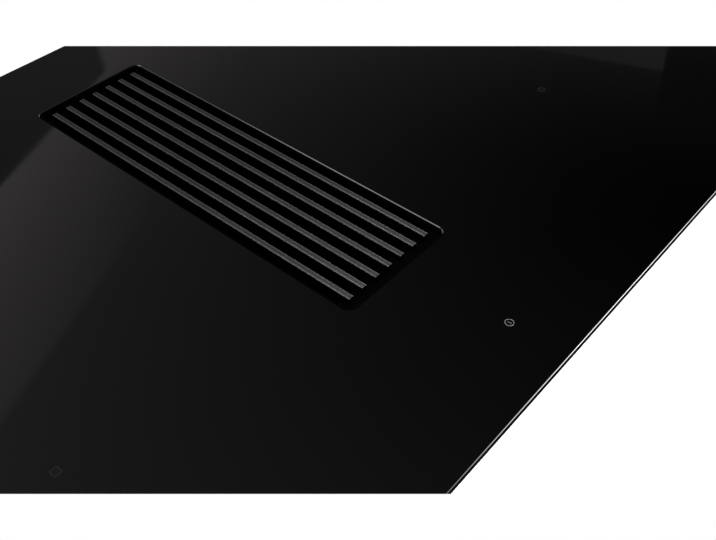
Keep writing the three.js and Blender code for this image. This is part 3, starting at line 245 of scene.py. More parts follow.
# Away from the darkest place the ceiling gets lighter.
DARKEST_X = 0.18
DARKEST_Y = -0.26
BASE_MOST = 0.30
off_x = added(tree, -DARKEST_X, (card_x, 1.0))
off_y = added(tree, -DARKEST_Y, (card_y, 1.0))
square = added(tree, 0.0, (off_y, off_y), (off_x, off_x))
distance = calc(tree, "SQRT", square)
base = calc(tree, "MINIMUM", added(tree, 0.010, (square, 0.79), (distance, 0.096)), BASE_MOST)

# The light band crosses it, brightest along its far edge, and ends at a dark corner.
BAND_X = 0.912
BAND_Y = 0.41
BAND_START = 0.0575
BAND_WIDTH = 0.1145
BAND_MOST = 0.62
CORNER_LEVEL = 0.116
across = along(-BAND_Y / BAND_WIDTH, BAND_X / BAND_WIDTH, -BAND_START / BAND_WIDTH)
run = along(BAND_X, BAND_Y, 0.0)
left_light = added(tree, 0.129, (across, 0.276), (run, -0.94))
right_light = added(tree, 0.157, (across, 0.133))
light = calc(tree, "MINIMUM", calc(tree, "MAXIMUM", left_light, right_light), BAND_MOST)
in_band = past(across, 0.0, 0.03)
corner = inside(past(across, 1.0, 0.012), past(along(-0.871, 0.491, -0.0752), 0.0, 0.004))
level = mixed(corner, mixed(in_band, base, light), CORNER_LEVEL)
# A square skylight shows at the far right, and past its side the ceiling is darker.
SKYLIGHT_LEVEL = 0.112
PAST_SKYLIGHT = 0.55
past_sill = past(along(0.934, 0.358, -0.2542), 0.0, 0.0015)
past_side = past(along(-0.363, 0.932, 0.2666), 0.0, 0.001)
level = mixed(inside(past_sill, past_side), level, SKYLIGHT_LEVEL)
unlit = inside(past(card_x, 0.30, 0.06), outside(past_side))
level = mixed(unlit, level, calc(tree, "MULTIPLY", level, PAST_SKYLIGHT))
# Past the glass it is dim in front and at the left. Far out it is even, but for a strip at the left.
DIM_LEVEL = 0.03
FAR_LEVEL = 0.26
STRIP_LEVEL = 0.43
STRIP_X = -0.655
level = mixed(past(calc(tree, "MULTIPLY", card_y, -1.0), 0.31, 0.03), level, DIM_LEVEL)
level = mixed(past(calc(tree, "MULTIPLY", card_x, -1.0), 0.50, 0.04), level, DIM_LEVEL)
level = mixed(past(distance, 1.0, 0.25), level, FAR_LEVEL)
off_strip = calc(tree, "ABSOLUTE", added(tree, -STRIP_X, (card_x, 1.0)))
in_strip = inside(outside(past(off_strip, 0.08, 0.03)), outside(past(card_y, 0.06, 0.04)))
level = mixed(in_strip, level, STRIP_LEVEL)
warmth = calc(tree, "SUBTRACT", in_band, inside(in_band, corner))
warm = add_node(tree, "Mix", {"A": (1, 1, 1, 1), "B": (1.04, 0.96, 1.0, 1), "Factor": warmth},
                data_type="RGBA")
glow = add_node(tree, "Emission", {"Strength": level, "Color": warm.outputs["Result"]})
show(tree, glow)
ceiling = flat_card("dark_ceiling", dim_ceiling, [(x * CEILING_HALF, y * CEILING_HALF, 0)
                                                  for x, y in CORNERS[::-1]])
ceiling.location = (VIEWPOINT.x * (1 - MIRROR_SCALE), VIEWPOINT.y * (1 - MIRROR_SCALE), CEILING_Z)
ceiling.scale = (MIRROR_SCALE, MIRROR_SCALE, 1)
seen_only_by(ceiling, "glossy")


def grey_steps(tree, value, steps):
    """A colour ramp through greys, each as (place, level)."""
    ramp = add_node(tree, "ValToRGB", {"Fac": value})
    stops = ramp.color_ramp.elements
    while len(stops) < len(steps):
        stops.new(1.0)
    for stop, (place, grey) in zip(stops, steps):
        stop.position = place
        stop.color = (grey, grey, grey, 1)
    return ramp.outputs["Color"]


# A thin strip of light stands close in front of the hob, and shows along the bevel of its front edge.
EDGE_LIGHT_LEFT = -0.133
EDGE_LIGHT_RIGHT = 0.307
EDGE_LIGHT_Y = -0.27
EDGE_LIGHT_LOW = 0.2122
EDGE_LIGHT_HIGH = 0.21345
strip_glow, tree = blank("strip_glow")
falloff = grey_steps(tree, place_on(tree, "Generated")["X"], (
    (0.0, 0.03), (0.11, 0.22), (0.24, 0.54), (0.38, 0.84), (0.54, 0.88), (0.75, 0.61)))
glow = add_node(tree, "Emission", {"Strength": 3.2, "Color": falloff})
show(tree, glow)
edge_light = flat_card("edge_light", strip_glow, [(x, EDGE_LIGHT_Y, z) for x, z in (
    (EDGE_LIGHT_LEFT, EDGE_LIGHT_LOW), (EDGE_LIGHT_RIGHT, EDGE_LIGHT_LOW),
    (EDGE_LIGHT_RIGHT, EDGE_LIGHT_HIGH), (EDGE_LIGHT_LEFT, EDGE_LIGHT_HIGH))])
seen_only_by(edge_light, "glossy")

# The mount cards stand just in front of the camera.
PICTURE_TOP = 46
PICTURE_LOW = 494
MOUNT_DISTANCE = 0.003
MOUNT_HALF = 0.0018
white_mount, tree = blank("white_mount")
show(tree, add_node(tree, "Emission"))
for name, edge, far in (("mount_above", PICTURE_TOP, 0), ("mount_below", PICTURE_LOW, IMAGE_H)):
    corners = []
    for side, row in ((-1, edge), (1, edge), (1, 2 * far - edge), (-1, 2 * far - edge)):
        height = (IMAGE_H / 2 - row) / FOCAL_PX * MOUNT_DISTANCE
        corners.append(VIEWPOINT + FORWARD * MOUNT_DISTANCE + RIGHT * side * MOUNT_HALF + UP * height)
    seen_only_by(flat_card(name, white_mount, corners), "camera")

# ----------------------------------------
# Glass-ceramic plate: 4 mm black glass, polished, with a ground bevel over a sloped shoulder round its rim,
# and a plain ground bevel round the intake cut-out.

import bmesh


def rounded(width, depth, radius, z, x=0.0, y=0.0, steps=8):
    """A rounded rectangle at one height, as points anticlockwise from above."""
    points = []
    for quarter, (sx, sy) in enumerate(((1, -1), (1, 1), (-1, 1), (-1, -1))):
        for step in range(steps + 1):
            angle = math.pi / 2 * (quarter - 1 + step / steps)
            points.append((x + sx * (width / 2 - radius) + radius * math.cos(angle),
                           y + sy * (depth / 2 - radius) + radius * math.sin(angle), z))
    return points


def add_loft(build, rings, at=Matrix(), closed=False, paints=None):
    """Adds a skin through rings of as many points each to a mesh that is being built. Open ends are
    filled; paints gives each band's material."""
    loops = [[build.verts.new(at @ Vector(point)) for point in ring] for ring in rings]
    count = len(loops[0])
    for band, (low, high) in enumerate(zip(loops, loops[1:] + loops[:1] if closed else loops[1:])):
        for i in range(count):
            j = (i + 1) % count
            face = build.faces.new((low[i], low[j], high[j], high[i]))
            face.material_index = paints[band] if paints else 0
    if not closed:
        build.faces.new(loops[0][::-1])
        build.faces.new(loops[-1])


def built(name, build, crisp=35):
    """The mesh as a piece. It shades smoothly, but for edges sharper than crisp degrees."""
    mesh = bpy.data.meshes.new(name)
    bmesh.ops.recalc_face_normals(build, faces=build.faces)
    build.to_mesh(mesh)
    build.free()
    if crisp is not None:
        for face in mesh.polygons:
            face.use_smooth = True
        mesh.set_sharp_from_angle(angle=math.radians(crisp))
    return link(name, mesh)


def lofted(name, rings, crisp=None, **how):
    build = bmesh.new()
    add_loft(build, rings, **how)
    return built(name, build, crisp)


def surface(name, slot=None, metallic=0.0, specular=0.5):
    """A material of one principled shader, its node tree and the shader's inputs. Its slot argument is not
    used."""
    made, tree = blank(name)
    values = {"Metallic": metallic, "Specular IOR Level": specular, "IOR": 1.5}
    shader = add_node(tree, "BsdfPrincipled", values)
    show(tree, shader)
    return made, tree, shader.inputs


def fit(piece, finish, node=None, body="hob"):
    """Puts a piece on its body in its finish, in place of the solid it stands for."""
    finishes = finish if isinstance(finish, tuple) else (finish,)
    for layer in finishes:
        piece.data.materials.append(layer)
    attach(piece, body)
    if node:
        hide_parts(node)


def grain(tree, scale, detail=3.0, stretch=(1, 1, 1)):
    """Noise in the piece's own metres, finer as the scale rises, and drawn out by the stretch."""
    place = add_node(tree, "Mapping", {"Vector": own_place(tree), "Scale": stretch}).outputs[0]
    noise = {"Vector": place, "Scale": scale, "Detail": detail, "Roughness": 0.5}
    return add_node(tree, "TexNoise", noise).outputs["Fac"]


def tinted(tree, value, dark, pale, start=0.3, end=0.7):
    """Two colours mixed by a value."""
    ramp = add_node(tree, "ValToRGB", {"Fac": value})
    for stop, place, colour in zip(ramp.color_ramp.elements, (start, end), (dark, pale)):
        stop.position = place
        stop.color = (*colour, 1)
    return ramp.outputs["Color"]


def coat(tree, look, pattern, dark, pale, matt, depth=0.0, relief=None, start=0.3, end=0.7):
    """Colours a surface by a pattern, and gives it the pattern's roughness within matt and its relief to a
    depth in metres. Where pale is None, dark is the whole colour, and matt may be the whole roughness."""
    tree.links.new(tinted(tree, pattern, dark, pale, start, end) if pale else dark, look["Base Color"])
    tree.links.new(spread(tree, pattern, *matt) if isinstance(matt, tuple) else matt, look["Roughness"])
    if depth:
        bump = {"Strength": 1.0, "Distance": depth, "Height": relief or pattern}
        tree.links.new(add_node(tree, "Bump", bump).outputs["Normal"], look["Normal"])


def grained(name, noise, dark, pale, matt, depth=0.0, **kind):
    """A surface whose colour, roughness and relief all follow one noise."""
    made, tree, look = surface(name, **kind)
    coat(tree, look, grain(tree, *noise), dark, pale, matt, depth)
    return made


GLASS_W = 0.830
GLASS_D = 0.520
GLASS_R = 0.006
BEVEL = 0.00035
SHOULDER = 0.00045
SHOULDER_DROP = 0.0010
UNDER_BEVEL = 0.0001
INTAKE_Y = 0.026
INTAKE_W = 0.1006
INTAKE_L = 0.3276
INTAKE_R = 0.0067
INTAKE_BEVEL = 0.0005
PRINT_T = 0.00001
TOP = GLASS_TOP - PRINT_T
GLASS_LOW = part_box("glass_plate")[0].z
PAINTS = [2, 2, 2, 1, 0, 1, 2, 2, 2]


def glass_ring(grow, z):
    return rounded(GLASS_W + 2 * grow, GLASS_D + 2 * grow, GLASS_R + grow, z)


def intake_ring(grow, z):
    return rounded(INTAKE_W + 2 * grow, INTAKE_L + 2 * grow, INTAKE_R + grow, z, y=INTAKE_Y)


glass = lofted("glass_top", [
    glass_ring(-UNDER_BEVEL, GLASS_LOW), glass_ring(0, GLASS_LOW + UNDER_BEVEL),
    glass_ring(0, TOP - BEVEL - SHOULDER_DROP), glass_ring(-SHOULDER, TOP - BEVEL),
    glass_ring(-SHOULDER - BEVEL, TOP),
    intake_ring(INTAKE_BEVEL, TOP), intake_ring(0, TOP - INTAKE_BEVEL),
    intake_ring(0, GLASS_LOW + INTAKE_BEVEL), intake_ring(INTAKE_BEVEL, GLASS_LOW),
], crisp=15, closed=True, paints=PAINTS)

black_glass = grained("black_glass", (9.0, 5.0), (0.00005, 0.00005, 0.00006), (0.00015, 0.00015, 0.00017),
                      (0.015, 0.045))
ground_bevel = grained("ground_bevel", (900.0, 2.0), (0.44, 0.44, 0.45), (0.56, 0.56, 0.57), (0.09, 0.15),
                       metallic=1.0)
glass_side = grained("glass_side", (700.0, 2.0), (0.0015, 0.0015, 0.0018), (0.004, 0.004, 0.0045),
                     (0.35, 0.55), specular=0.0)
fit(glass, (black_glass, ground_bevel, glass_side), "glass_plate")

# ----------------------------------------
# Printed marks: an on/off mark at the front, and a small rounded square over each cooking zone. They are
# screen-printed in grey enamel and fired into the glass.

POWER_X = 0.0076
POWER_Y = -0.2174
POWER_R = 0.0031
POWER_BAR = 0.0028
STROKE = 0.0007
ZONE_X = {"left": -0.2387, "right": 0.2415}
ZONE_Y = {"front": -0.0937, "back": 0.119}
ZONE_SIZE = 0.0061
ZONE_R = 0.0015
ZONE_STROKE = 0.0014
DOT_SIZE = 0.0012
DOT_R = 0.0005
SHARPEST_R = 0.0001


def print_line(name, size, radius, x, y, stroke, steps=8):
    """A printed outline with rounded corners, a hair thick."""
    outer = (size, size, radius)
    inner = (size - 2 * stroke, size - 2 * stroke, max(radius - stroke, SHARPEST_R))
    shapes = ((outer, TOP), (outer, TOP + PRINT_T), (inner, TOP + PRINT_T), (inner, TOP))
    return lofted(name, [rounded(*shape, z, x, y, steps) for shape, z in shapes], closed=True)


def print_spot(name, width, depth, radius, x, y):
    return lofted(name, [rounded(width, depth, radius, z, x, y) for z in (TOP, TOP + PRINT_T)])


def enamel(name, tone):
    return grained(name, (6000.0, 1.0), (tone * 0.8,) * 3, (tone * 1.2,) * 3, (0.35, 0.5),
                   slot="black_glass", specular=0.3)


grey_enamel = enamel("grey_enamel", 0.066)
faint_enamel = enamel("faint_enamel", 0.0085)
fit(print_line("power_mark_ring", 2 * POWER_R, POWER_R, POWER_X, POWER_Y, STROKE, 12), grey_enamel)
fit(print_spot("power_mark_bar", STROKE, POWER_BAR, STROKE / 2, POWER_X, POWER_Y), grey_enamel)
for side, x in ZONE_X.items():
    for row, y in ZONE_Y.items():
        fit(print_line(f"zone_mark_{side}_{row}", ZONE_SIZE, ZONE_R, x, y, ZONE_STROKE), faint_enamel)
        fit(print_spot(f"zone_dot_{side}_{row}", DOT_SIZE, DOT_SIZE, DOT_R, x, y), faint_enamel)

# ----------------------------------------
# Seals: black foam tape under the rim of the glass, and a thinner one round the intake. Both are cut from
# closed-cell foam and stuck to the glass.


def softened(node, width, segments=2):
    """The solid's own shape as a new piece, with its edges rounded off."""
    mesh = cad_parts[node].data.copy()
    mesh.materials.clear()
    build = bmesh.new()
    build.from_mesh(mesh)
    bmesh.ops.remove_doubles(build, verts=build.verts, dist=0.000005)
    bmesh.ops.dissolve_limit(build, angle_limit=math.radians(0.5), verts=build.verts, edges=build.edges)
    build.to_mesh(mesh)
    build.free()
    for face in mesh.polygons:
        face.use_smooth = True
    piece = link(node + "_finished", mesh)
    rounding = piece.modifiers.new("rounded_edges", "BEVEL")
    rounding.width = width
    rounding.segments = segments
    rounding.limit_method = "ANGLE"
    rounding.angle_limit = math.radians(30)
    rounding.harden_normals = True
    return piece


def dress(node, width, finish, body="hob", segments=2):
    """The softened solid, fitted in its finish in place of the solid."""
    fit(softened(node, width, segments), finish, node, body)


foam_tape = grained("foam_tape", (1800.0, 2.0), (0.006,) * 3, (0.016,) * 3, (0.75, 0.95), 0.0002,
                    slot="seal_rubber", specular=0.25)
dress("worktop_seal", 0.0004, foam_tape)
dress("well_seal", 0.0003, foam_tape)

# ----------------------------------------
# Grille: seven satin anodised aluminium slats, sawn and brushed along their length, sitting in a black
# powder-coated sheet rim with a shelf at each end and notched ribs across.

SLATS = 7
SLAT_TOP = 0.7

black_coat = grained("black_coat", (700.0,), (0.0003, 0.0003, 0.00035), (0.0008, 0.0008, 0.0009),
                     (0.42, 0.58), 0.00006, specular=0.04)
dress("grille_frame", 0.00018, black_coat, "grille")

# A painted highlight makes each slat's top paler along both long edges than in its middle.
satin_slat, tree, look = surface("satin_slat", specular=0.2)
brush = grain(tree, 2600.0, stretch=(1, 0.02, 1))
shade = added(tree, 0.0, (grain(tree, 30.0, 2.0), 0.3), (brush, 0.7))
# Painted highlight: a grey ramp across the slat, bright at both long edges, multiplies the anodised colour.
painted_edge_highlight = grey_steps(tree, place_on(tree, "Generated")["X"], (
    (0.0, 0.85), (0.15, 0.68), (0.27, 0.28), (0.70, 0.26), (0.85, 0.60), (1.0, 0.80)))
anodised = tinted(tree, shade, (0.068, 0.068, 0.069), (0.118, 0.118, 0.120))
anodised_with_highlight = add_node(tree, "Mix", {"Factor": 1.0, "A": anodised, "B": painted_edge_highlight}, data_type="RGBA",
                blend_type="MULTIPLY")
coat(tree, look, brush, anodised_with_highlight.outputs["Result"], None, (0.34, 0.5), 0.00002)
for slat in range(1, SLATS + 1):
    bar = softened(f"grille_slat_{slat}", 0.0004, segments=3)
    for face in bar.data.polygons:
        face.material_index = 0 if face.normal.z > SLAT_TOP else 1
    fit(bar, (satin_slat, black_coat), f"grille_slat_{slat}", "grille")

# ----------------------------------------
# Grease filter: a trough folded from brushed stainless sheet with windows in its sides. Behind the windows
# lie panels of two crossed layers of expanded metal, and a flat strap across the top lifts it out.

MESH_LEAN = math.radians(21.2)
MESH_FOOT = Vector((0.01856, 0, 0.12922))
MESH_RUN = 0.0594
MESH_FRONT = -0.1295
MESH_BACK = 0.1815
MESH_EDGE = 0.0022
EDGE_HALF = 0.0005
LAYER_OFF = 0.0003
DIAMOND_L = 0.0074
DIAMOND_W = 0.0037
STRAND = 0.0005
SIDES = (("left", -1), ("right", 1))


def mesh_point(side, along_y, up, out):
    """A point on a filter panel: its place from front to back, up its slope and out from its middle."""
    x = MESH_FOOT.x + up * math.sin(MESH_LEAN) + out * math.cos(MESH_LEAN)
    z = MESH_FOOT.z + up * math.cos(MESH_LEAN) - out * math.sin(MESH_LEAN)
    return side * x, along_y, z


def expanded_metal(name, side, out, shift):
    """One layer of diamonds, each strand a fine square bar."""
    length = MESH_BACK - MESH_FRONT - 2 * MESH_EDGE
    width = MESH_RUN - 2 * MESH_EDGE
    columns = round(length / DIAMOND_L) * 2
    rows = round(width / DIAMOND_W) * 2
    build = bmesh.new()
    corners = {}

    def corner(i, j):
        if (i, j) not in corners:
            along_y = MESH_FRONT + MESH_EDGE + length * min(max(i + shift, 0), columns) / columns
            corners[i, j] = build.verts.new(mesh_point(side, along_y, MESH_EDGE + width * j / rows, out))
        return corners[i, j]

    for i in range(1, columns):
        for j in range(1, rows):
            if (i + j) % 2:
                build.faces.new((corner(i - 1, j), corner(i, j - 1), corner(i + 1, j), corner(i, j + 1)))
    mesh = bpy.data.meshes.new(name)
    build.to_mesh(mesh)
    build.free()
    layer = link(name, mesh)
    strands = layer.modifiers.new("strands", "WIREFRAME")
    strands.thickness = STRAND
    strands.use_even_offset = False
    return layer


def panel_ring(side, inset, out):
    low, high = inset, MESH_RUN - inset
    front, back = MESH_FRONT + inset, MESH_BACK - inset
    corners = ((front, low), (back, low), (back, high), (front, high))
    return [mesh_point(side, y, up, out) for y, up in corners]


stainless, tree, look = surface("stainless", metallic=1.0)
brush = grain(tree, 1500.0, stretch=(1, 0.03, 1))
smeared = added(tree, spread(tree, brush, 0.20, 0.32), (grain(tree, 22.0, 4.0), 0.12))
coat(tree, look, brush, (0.40, 0.40, 0.41), (0.58, 0.58, 0.59), smeared, 0.00003)
strand_steel = grained("strand_steel", (1200.0, 2.0), (0.34, 0.34, 0.35), (0.52, 0.52, 0.53), (0.28, 0.45),
                       slot="stainless", metallic=1.0)

dress("filter_frame", 0.0003, stainless, "filter")
dress("filter_strap", 0.0004, stainless, "filter")
for side_name, side in SIDES:
    edge = lofted(f"mesh_edge_{side_name}", [panel_ring(side, inset, out) for inset, out in (
        (0.0, -EDGE_HALF), (0.0, EDGE_HALF), (MESH_EDGE, EDGE_HALF), (MESH_EDGE, -EDGE_HALF))], closed=True)
    edge.modifiers.new("rounded_edges", "BEVEL").width = 0.0002
    fit(edge, stainless, f"filter_mesh_{side_name}", "filter")
    for layer, (out, shift) in enumerate(((-LAYER_OFF, 0.0), (LAYER_OFF, 1.0)), 1):
        fit(expanded_metal(f"mesh_layer_{side_name}_{layer}", side, out, shift), strand_steel, body="filter")

# ----------------------------------------
# Casing: a tray folded from 1 mm zinc-coated sheet, with its corner tabs riveted and its inner brackets spot
# welded. Four spring brackets of the same sheet are screwed to its sides and clamp the hob in the worktop.


def aimed(place, direction):
    """A frame at a place whose Z points along the direction, with Y up where it can be."""
    direction = Vector(direction)
    if abs(direction.z) > 0.99:
        turn = Matrix.Rotation(0 if direction.z > 0 else math.pi, 4, "X")
    else:
        turn = direction.to_track_quat("Z", "Y").to_matrix().to_4x4()
    return Matrix.Translation(place) @ turn


def ring(reach, height, steps):
    """A level ring of points, whose reach is a function of the angle."""
    turns = [2 * math.pi * step / steps for step in range(steps)]
    return [(reach(turn) * math.cos(turn), reach(turn) * math.sin(turn), height) for turn in turns]


def add_turned(build, profile, at, steps=20):
    """Adds a turned form. Its profile is (radius, height), with a third value for a cross-shaped ring."""
    add_loft(build, [ring(lambda turn: radius * (1 + cross * math.cos(4 * turn)), height, steps)
                     for radius, height, cross in ((*point, 0)[:3] for point in profile)], at)


def add_pad(build, size, at):
    """Adds a rounded block on the frame's origin. Its size is width, depth, height, radius and bevel."""
    width, depth, height, radius, bevel = size
    add_loft(build, [
        rounded(width, depth, radius, -0.0002, steps=4),
        rounded(width, depth, radius, height - bevel, steps=4),
        rounded(width - 2 * bevel, depth - 2 * bevel, max(radius - bevel, 0.00005), height, steps=4)], at)


def turned(name, profile, spots, steps=20):
    """Turned forms of one profile, as one piece. Each spot is a place and a direction."""
    build = bmesh.new()
    for spot in spots:
        add_turned(build, profile, aimed(*spot), steps)
    return built(name, build)


def pads(name, blocks, finish, body="hob"):
    """Fits rounded blocks as one piece. Each is a size, a place and a direction."""
    build = bmesh.new()
    for size, place, direction in blocks:
        add_pad(build, size, aimed(place, direction))
    fit(built(name, build), finish, body=body)


def screws(name, spots, radius=0.0028, height=0.0017):
    """Pan-head screws with a cross recess, as one piece."""
    return turned(name, [
        (radius * 1.35, -0.0001), (radius * 1.35, 0.0003), (radius, 0.00032), (radius, height * 0.5),
        (radius * 0.9, height * 0.8), (radius * 0.68, height), (radius * 0.36, height, 0.42),
        (radius * 0.30, height * 0.45, 0.35)], spots, 32)


zinc_sheet, tree, look = surface("zinc_sheet", "sheet_steel", metallic=0.9)
rolled = grain(tree, 900.0, 3.0, (0.05, 1, 1))
spangle = add_node(tree, "TexVoronoi", {"Scale": 170.0, "Vector": own_place(tree)}).outputs["Color"]
mix = added(tree, 0.0, (rolled, 0.4), (spangle, 0.25), (grain(tree, 14.0, 4.0), 0.35))
coat(tree, look, mix, (0.20, 0.205, 0.21), (0.37, 0.375, 0.38), (0.32, 0.5), 0.00003, relief=rolled,
     start=0.34, end=0.66)
screw_steel = grained("screw_steel", (500.0,), (0.46, 0.46, 0.45), (0.66, 0.66, 0.64), (0.22, 0.36),
                      slot="stainless", metallic=1.0)

TAB = (0.016, 0.040, 0.0008, 0.002, 0.0003)
TAB_INSET = 0.013
RIVET = [(0.0024, -0.0001), (0.0024, 0.0004), (0.0017, 0.0011), (0.0007, 0.0012), (0.0005, 0.0007)]
RIVET_OFF = 0.012
WELD = [(0.0030, -0.0001), (0.0028, 0.00018), (0.0021, 0.00022), (0.0019, 0.0001)]
WELD_HEIGHT = 0.007
BRACKET_X = 0.3998
BRACKET_Y = 0.150
BRACKET_Z = 0.1713
BRACKET_SCREW_OFF = 0.009
BOTH = (-1, 1)
casing_low, casing_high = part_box("casing")
casing_z = (casing_low.z + casing_high.z) / 2
weld_z = casing_low.z + WELD_HEIGHT
dress("casing", 0.0004, zinc_sheet)
tabs = [(side, end * (casing_high.y - TAB_INSET)) for side in BOTH for end in BOTH]
pads("casing_corner_tabs", [(TAB, (side * casing_high.x, y, casing_z), (side, 0, 0)) for side, y in tabs],
     zinc_sheet)
fit(turned("casing_rivets", RIVET, [((side * (casing_high.x + TAB[2]), y, casing_z + up), (side, 0, 0))
                                    for side, y in tabs for up in (-RIVET_OFF, RIVET_OFF)]),
    screw_steel)
welds = [((x / 1000, face * casing_high.y, weld_z), (0, face, 0))
         for x in range(-360, 361, 60) for face in BOTH]
welds += [((face * casing_high.x, y / 1000, weld_z), (face, 0, 0))
          for y in range(-180, 181, 60) for face in BOTH]
fit(turned("casing_spot_welds", WELD, welds), zinc_sheet)
bracket_screws = []
for side_name, side in SIDES:
    for end_name, end in (("front", -1), ("back", 1)):
        dress(f"clamp_bracket_{side_name}_{end_name}", 0.0003, zinc_sheet)
        for off in BOTH:
            y = end * BRACKET_Y + off * BRACKET_SCREW_OFF
            bracket_screws.append(((side * BRACKET_X, y, BRACKET_Z), (side, 0, 0)))
fit(screws("bracket_screws", bracket_screws, 0.0026), screw_steel)

# ----------------------------------------
# Air path: well liner, plenum tub and suction hood, injection-moulded in dark glass-filled plastic with
# stiffening ribs, ejector marks and snap hooks. The mould leaves a fine spark-eroded texture on them.


def moulded(name, tone, depth=0.00005, variety=0.17):
    """Injection-moulded plastic: fine texture, faint flow clouds and a little dust in its gloss."""
    made, tree, look = surface(name, specular=0.4)
    texture = grain(tree, 1400.0, 2.0)
    mix = added(tree, 0.0, (grain(tree, 11.0, 4.0), 0.5), (texture, 0.5))
    dark, pale = ([c * (1 + change) for c in tone] for change in (-variety, variety))
    coat(tree, look, mix, dark, pale, (0.42, 0.62), depth, relief=texture)
    return made


def snap_hooks(name, spots, width=0.012):
    """Snap hooks: a tongue in a raised frame, with its ramp. Each spot is a place and a direction."""
    build = bmesh.new()
    for spot in spots:
        at = aimed(*spot)
        add_pad(build, (width, 0.015, 0.0009, 0.0012, 0.0003), at)
        for size, y in (((width * 0.66, 0.004, 0.0026, 0.0004, 0.0012), 0.0035),
                        ((width * 0.5, 0.0055, 0.0014, 0.0006, 0.0004), -0.0032)):
            add_pad(build, size, at @ Matrix.Translation((0, y, 0)))
    return built(name, build)


def wall_rib(length):
    return 0.0022, length, 0.0018, 0.0008, 0.0004


dark_plastic = moulded("dark_plastic", (0.022, 0.023, 0.024))
for node, edge in (("well_liner", 0.0005), ("plenum_tub", 0.0006), ("suction_hood", 0.0006)):
    dress(node, edge, dark_plastic)

TUB_WALL_LOW = 0.0623
TUB_RIBS = 8
TUB_RIB_START = 0.028
TUB_RIB_PITCH = 0.042
HOOD_FRONT = -0.09
HOOD_BACK = 0.13
tub_low, tub_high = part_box("plenum_tub")
tub_middle = (TUB_WALL_LOW + tub_high.z) / 2
rib = wall_rib(tub_high.z - TUB_WALL_LOW - 0.010)
ribs = []
for step in range(TUB_RIBS):
    y = tub_low.y + TUB_RIB_START + step * TUB_RIB_PITCH
    ribs += [(rib, (side * tub_high.x, y, tub_middle), (side, 0, 0))
             for side in BOTH if side < 0 or not HOOD_FRONT < y < HOOD_BACK]
for x in (-0.036, -0.012, 0.012, 0.036):
    ribs += [(rib, (x, y, tub_middle), (0, face, 0)) for face, y in ((-1, tub_low.y), (1, tub_high.y))]
for side, length, y in ((-1, 0.330, INTAKE_Y), (1, 0.036, -0.120)):
    ribs.append(((length, 0.003, 0.0022, 0.0008, 0.0005), (side * tub_high.x, y, TUB_WALL_LOW + 0.004),
                 (side, 0, 0)))
pads("tub_ribs", ribs, dark_plastic)
hook_z = tub_high.z - 0.014
fit(snap_hooks("tub_hooks", [((x, tub_low.y, hook_z), (0, -1, 0)) for x in (-0.024, 0.024)] +
               [((-tub_high.x, y, hook_z), (-1, 0, 0)) for y in (-0.101, 0.153)]), dark_plastic)

FAN_X = 0.18855
FAN_Y = 0.020
HOOD_R = 0.100
HOOD_RIB_R = HOOD_R * 0.9995
hood_low, hood_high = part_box("suction_hood")
hood_middle = (hood_low.z + hood_high.z) / 2
rib = wall_rib(hood_high.z - hood_low.z - 0.008)


def round_fan(degrees, radius, z):
    """A place round the blower's axis, and the direction out from the axis."""
    angle = math.radians(degrees)
    return ((FAN_X + radius * math.cos(angle), FAN_Y + radius * math.sin(angle), z),
            (math.cos(angle), math.sin(angle), 0))


ribs = [(rib, *round_fan(16 * step, HOOD_RIB_R, hood_middle)) for step in range(-5, 6)]
ribs += [(rib, (x, FAN_Y + face * HOOD_R, hood_middle), (0, face, 0)) for face in BOTH
         for x in (0.090, 0.120, 0.150)]
pads("hood_ribs", ribs, dark_plastic)
hook_z = hood_high.z - 0.012
fit(snap_hooks("hood_hooks", [round_fan(degrees, HOOD_R, hook_z) for degrees in (-72, -24, 24, 72)], 0.010),
    dark_plastic)

# ----------------------------------------
# Collecting tray: a pale moulded drawer with a grip, level marks inside and runners under it. It slides in
# a cradle folded from zinc-coated sheet and screwed up to the tub.

TRAY_WALL = 0.0018
TRAY_FACE = 0.008
CORNER_R = 0.008
CORNER_T = 0.0006
CORNER_STEPS = 10
CORNER_GAP = 0.0002

pale_plastic = moulded("pale_plastic", (0.38, 0.39, 0.38), 0.000015, 0.05)
dress("collecting_tray", 0.0007, pale_plastic, "collecting_tray", segments=3)
tray_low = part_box("collecting_tray")[0]
tray_front = tray_low.y + TRAY_FACE
marks = [((width, 0.0009, 0.0005, 0.0003, 0.0002),
          (tray_low.x + TRAY_WALL, 0.020, tray_low.z + level), (1, 0, 0))
         for level, width in ((0.010, 0.016), (0.016, 0.010), (0.022, 0.016), (0.028, 0.010), (0.034, 0.016))]
marks += [((0.0030, 0.032, 0.0010, 0.0012, 0.0004), (x, tray_front, tray_low.z + 0.021), (0, -1, 0))
          for x in (-0.046, 0.046)]
marks.append(((0.074, 0.0022, 0.0010, 0.0009, 0.0004), (0, tray_front, tray_low.z + 0.006), (0, -1, 0)))
pads("tray_marks", marks, pale_plastic, "collecting_tray")

dress("tray_cradle", 0.0005, zinc_sheet)
cradle_low, cradle_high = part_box("tray_cradle")
bend = [math.pi / 2 * step / CORNER_STEPS for step in range(CORNER_STEPS + 1)]
for side_name, side in SIDES:
    arc = [(side * (cradle_high.x - CORNER_R + r * math.cos(angle)),
            cradle_high.y - CORNER_R + r * math.sin(angle))
           for r, angles in ((CORNER_R, bend), (CORNER_R - CORNER_T, bend[::-1])) for angle in angles]
    fit(lofted(f"cradle_corner_{side_name}", [[(x, y, z) for x, y in arc] for z in (
        cradle_low.z + CORNER_GAP, cradle_high.z - CORNER_GAP)], crisp=32), zinc_sheet)
fit(screws("cradle_screws", [((side * cradle_high.x, y, cradle_high.z - 0.007), (side, 0, 0))
                             for y in (-0.120, -0.010, 0.100, 0.180) for side in BOTH], 0.0024, 0.0015),
    screw_steel)
pads("cradle_beads", [((0.290, 0.005, 0.0008, 0.0024, 0.0007),
                       (side * cradle_high.x, 0.020, cradle_low.z + 0.024), (side, 0, 0)) for side in BOTH],
     zinc_sheet)

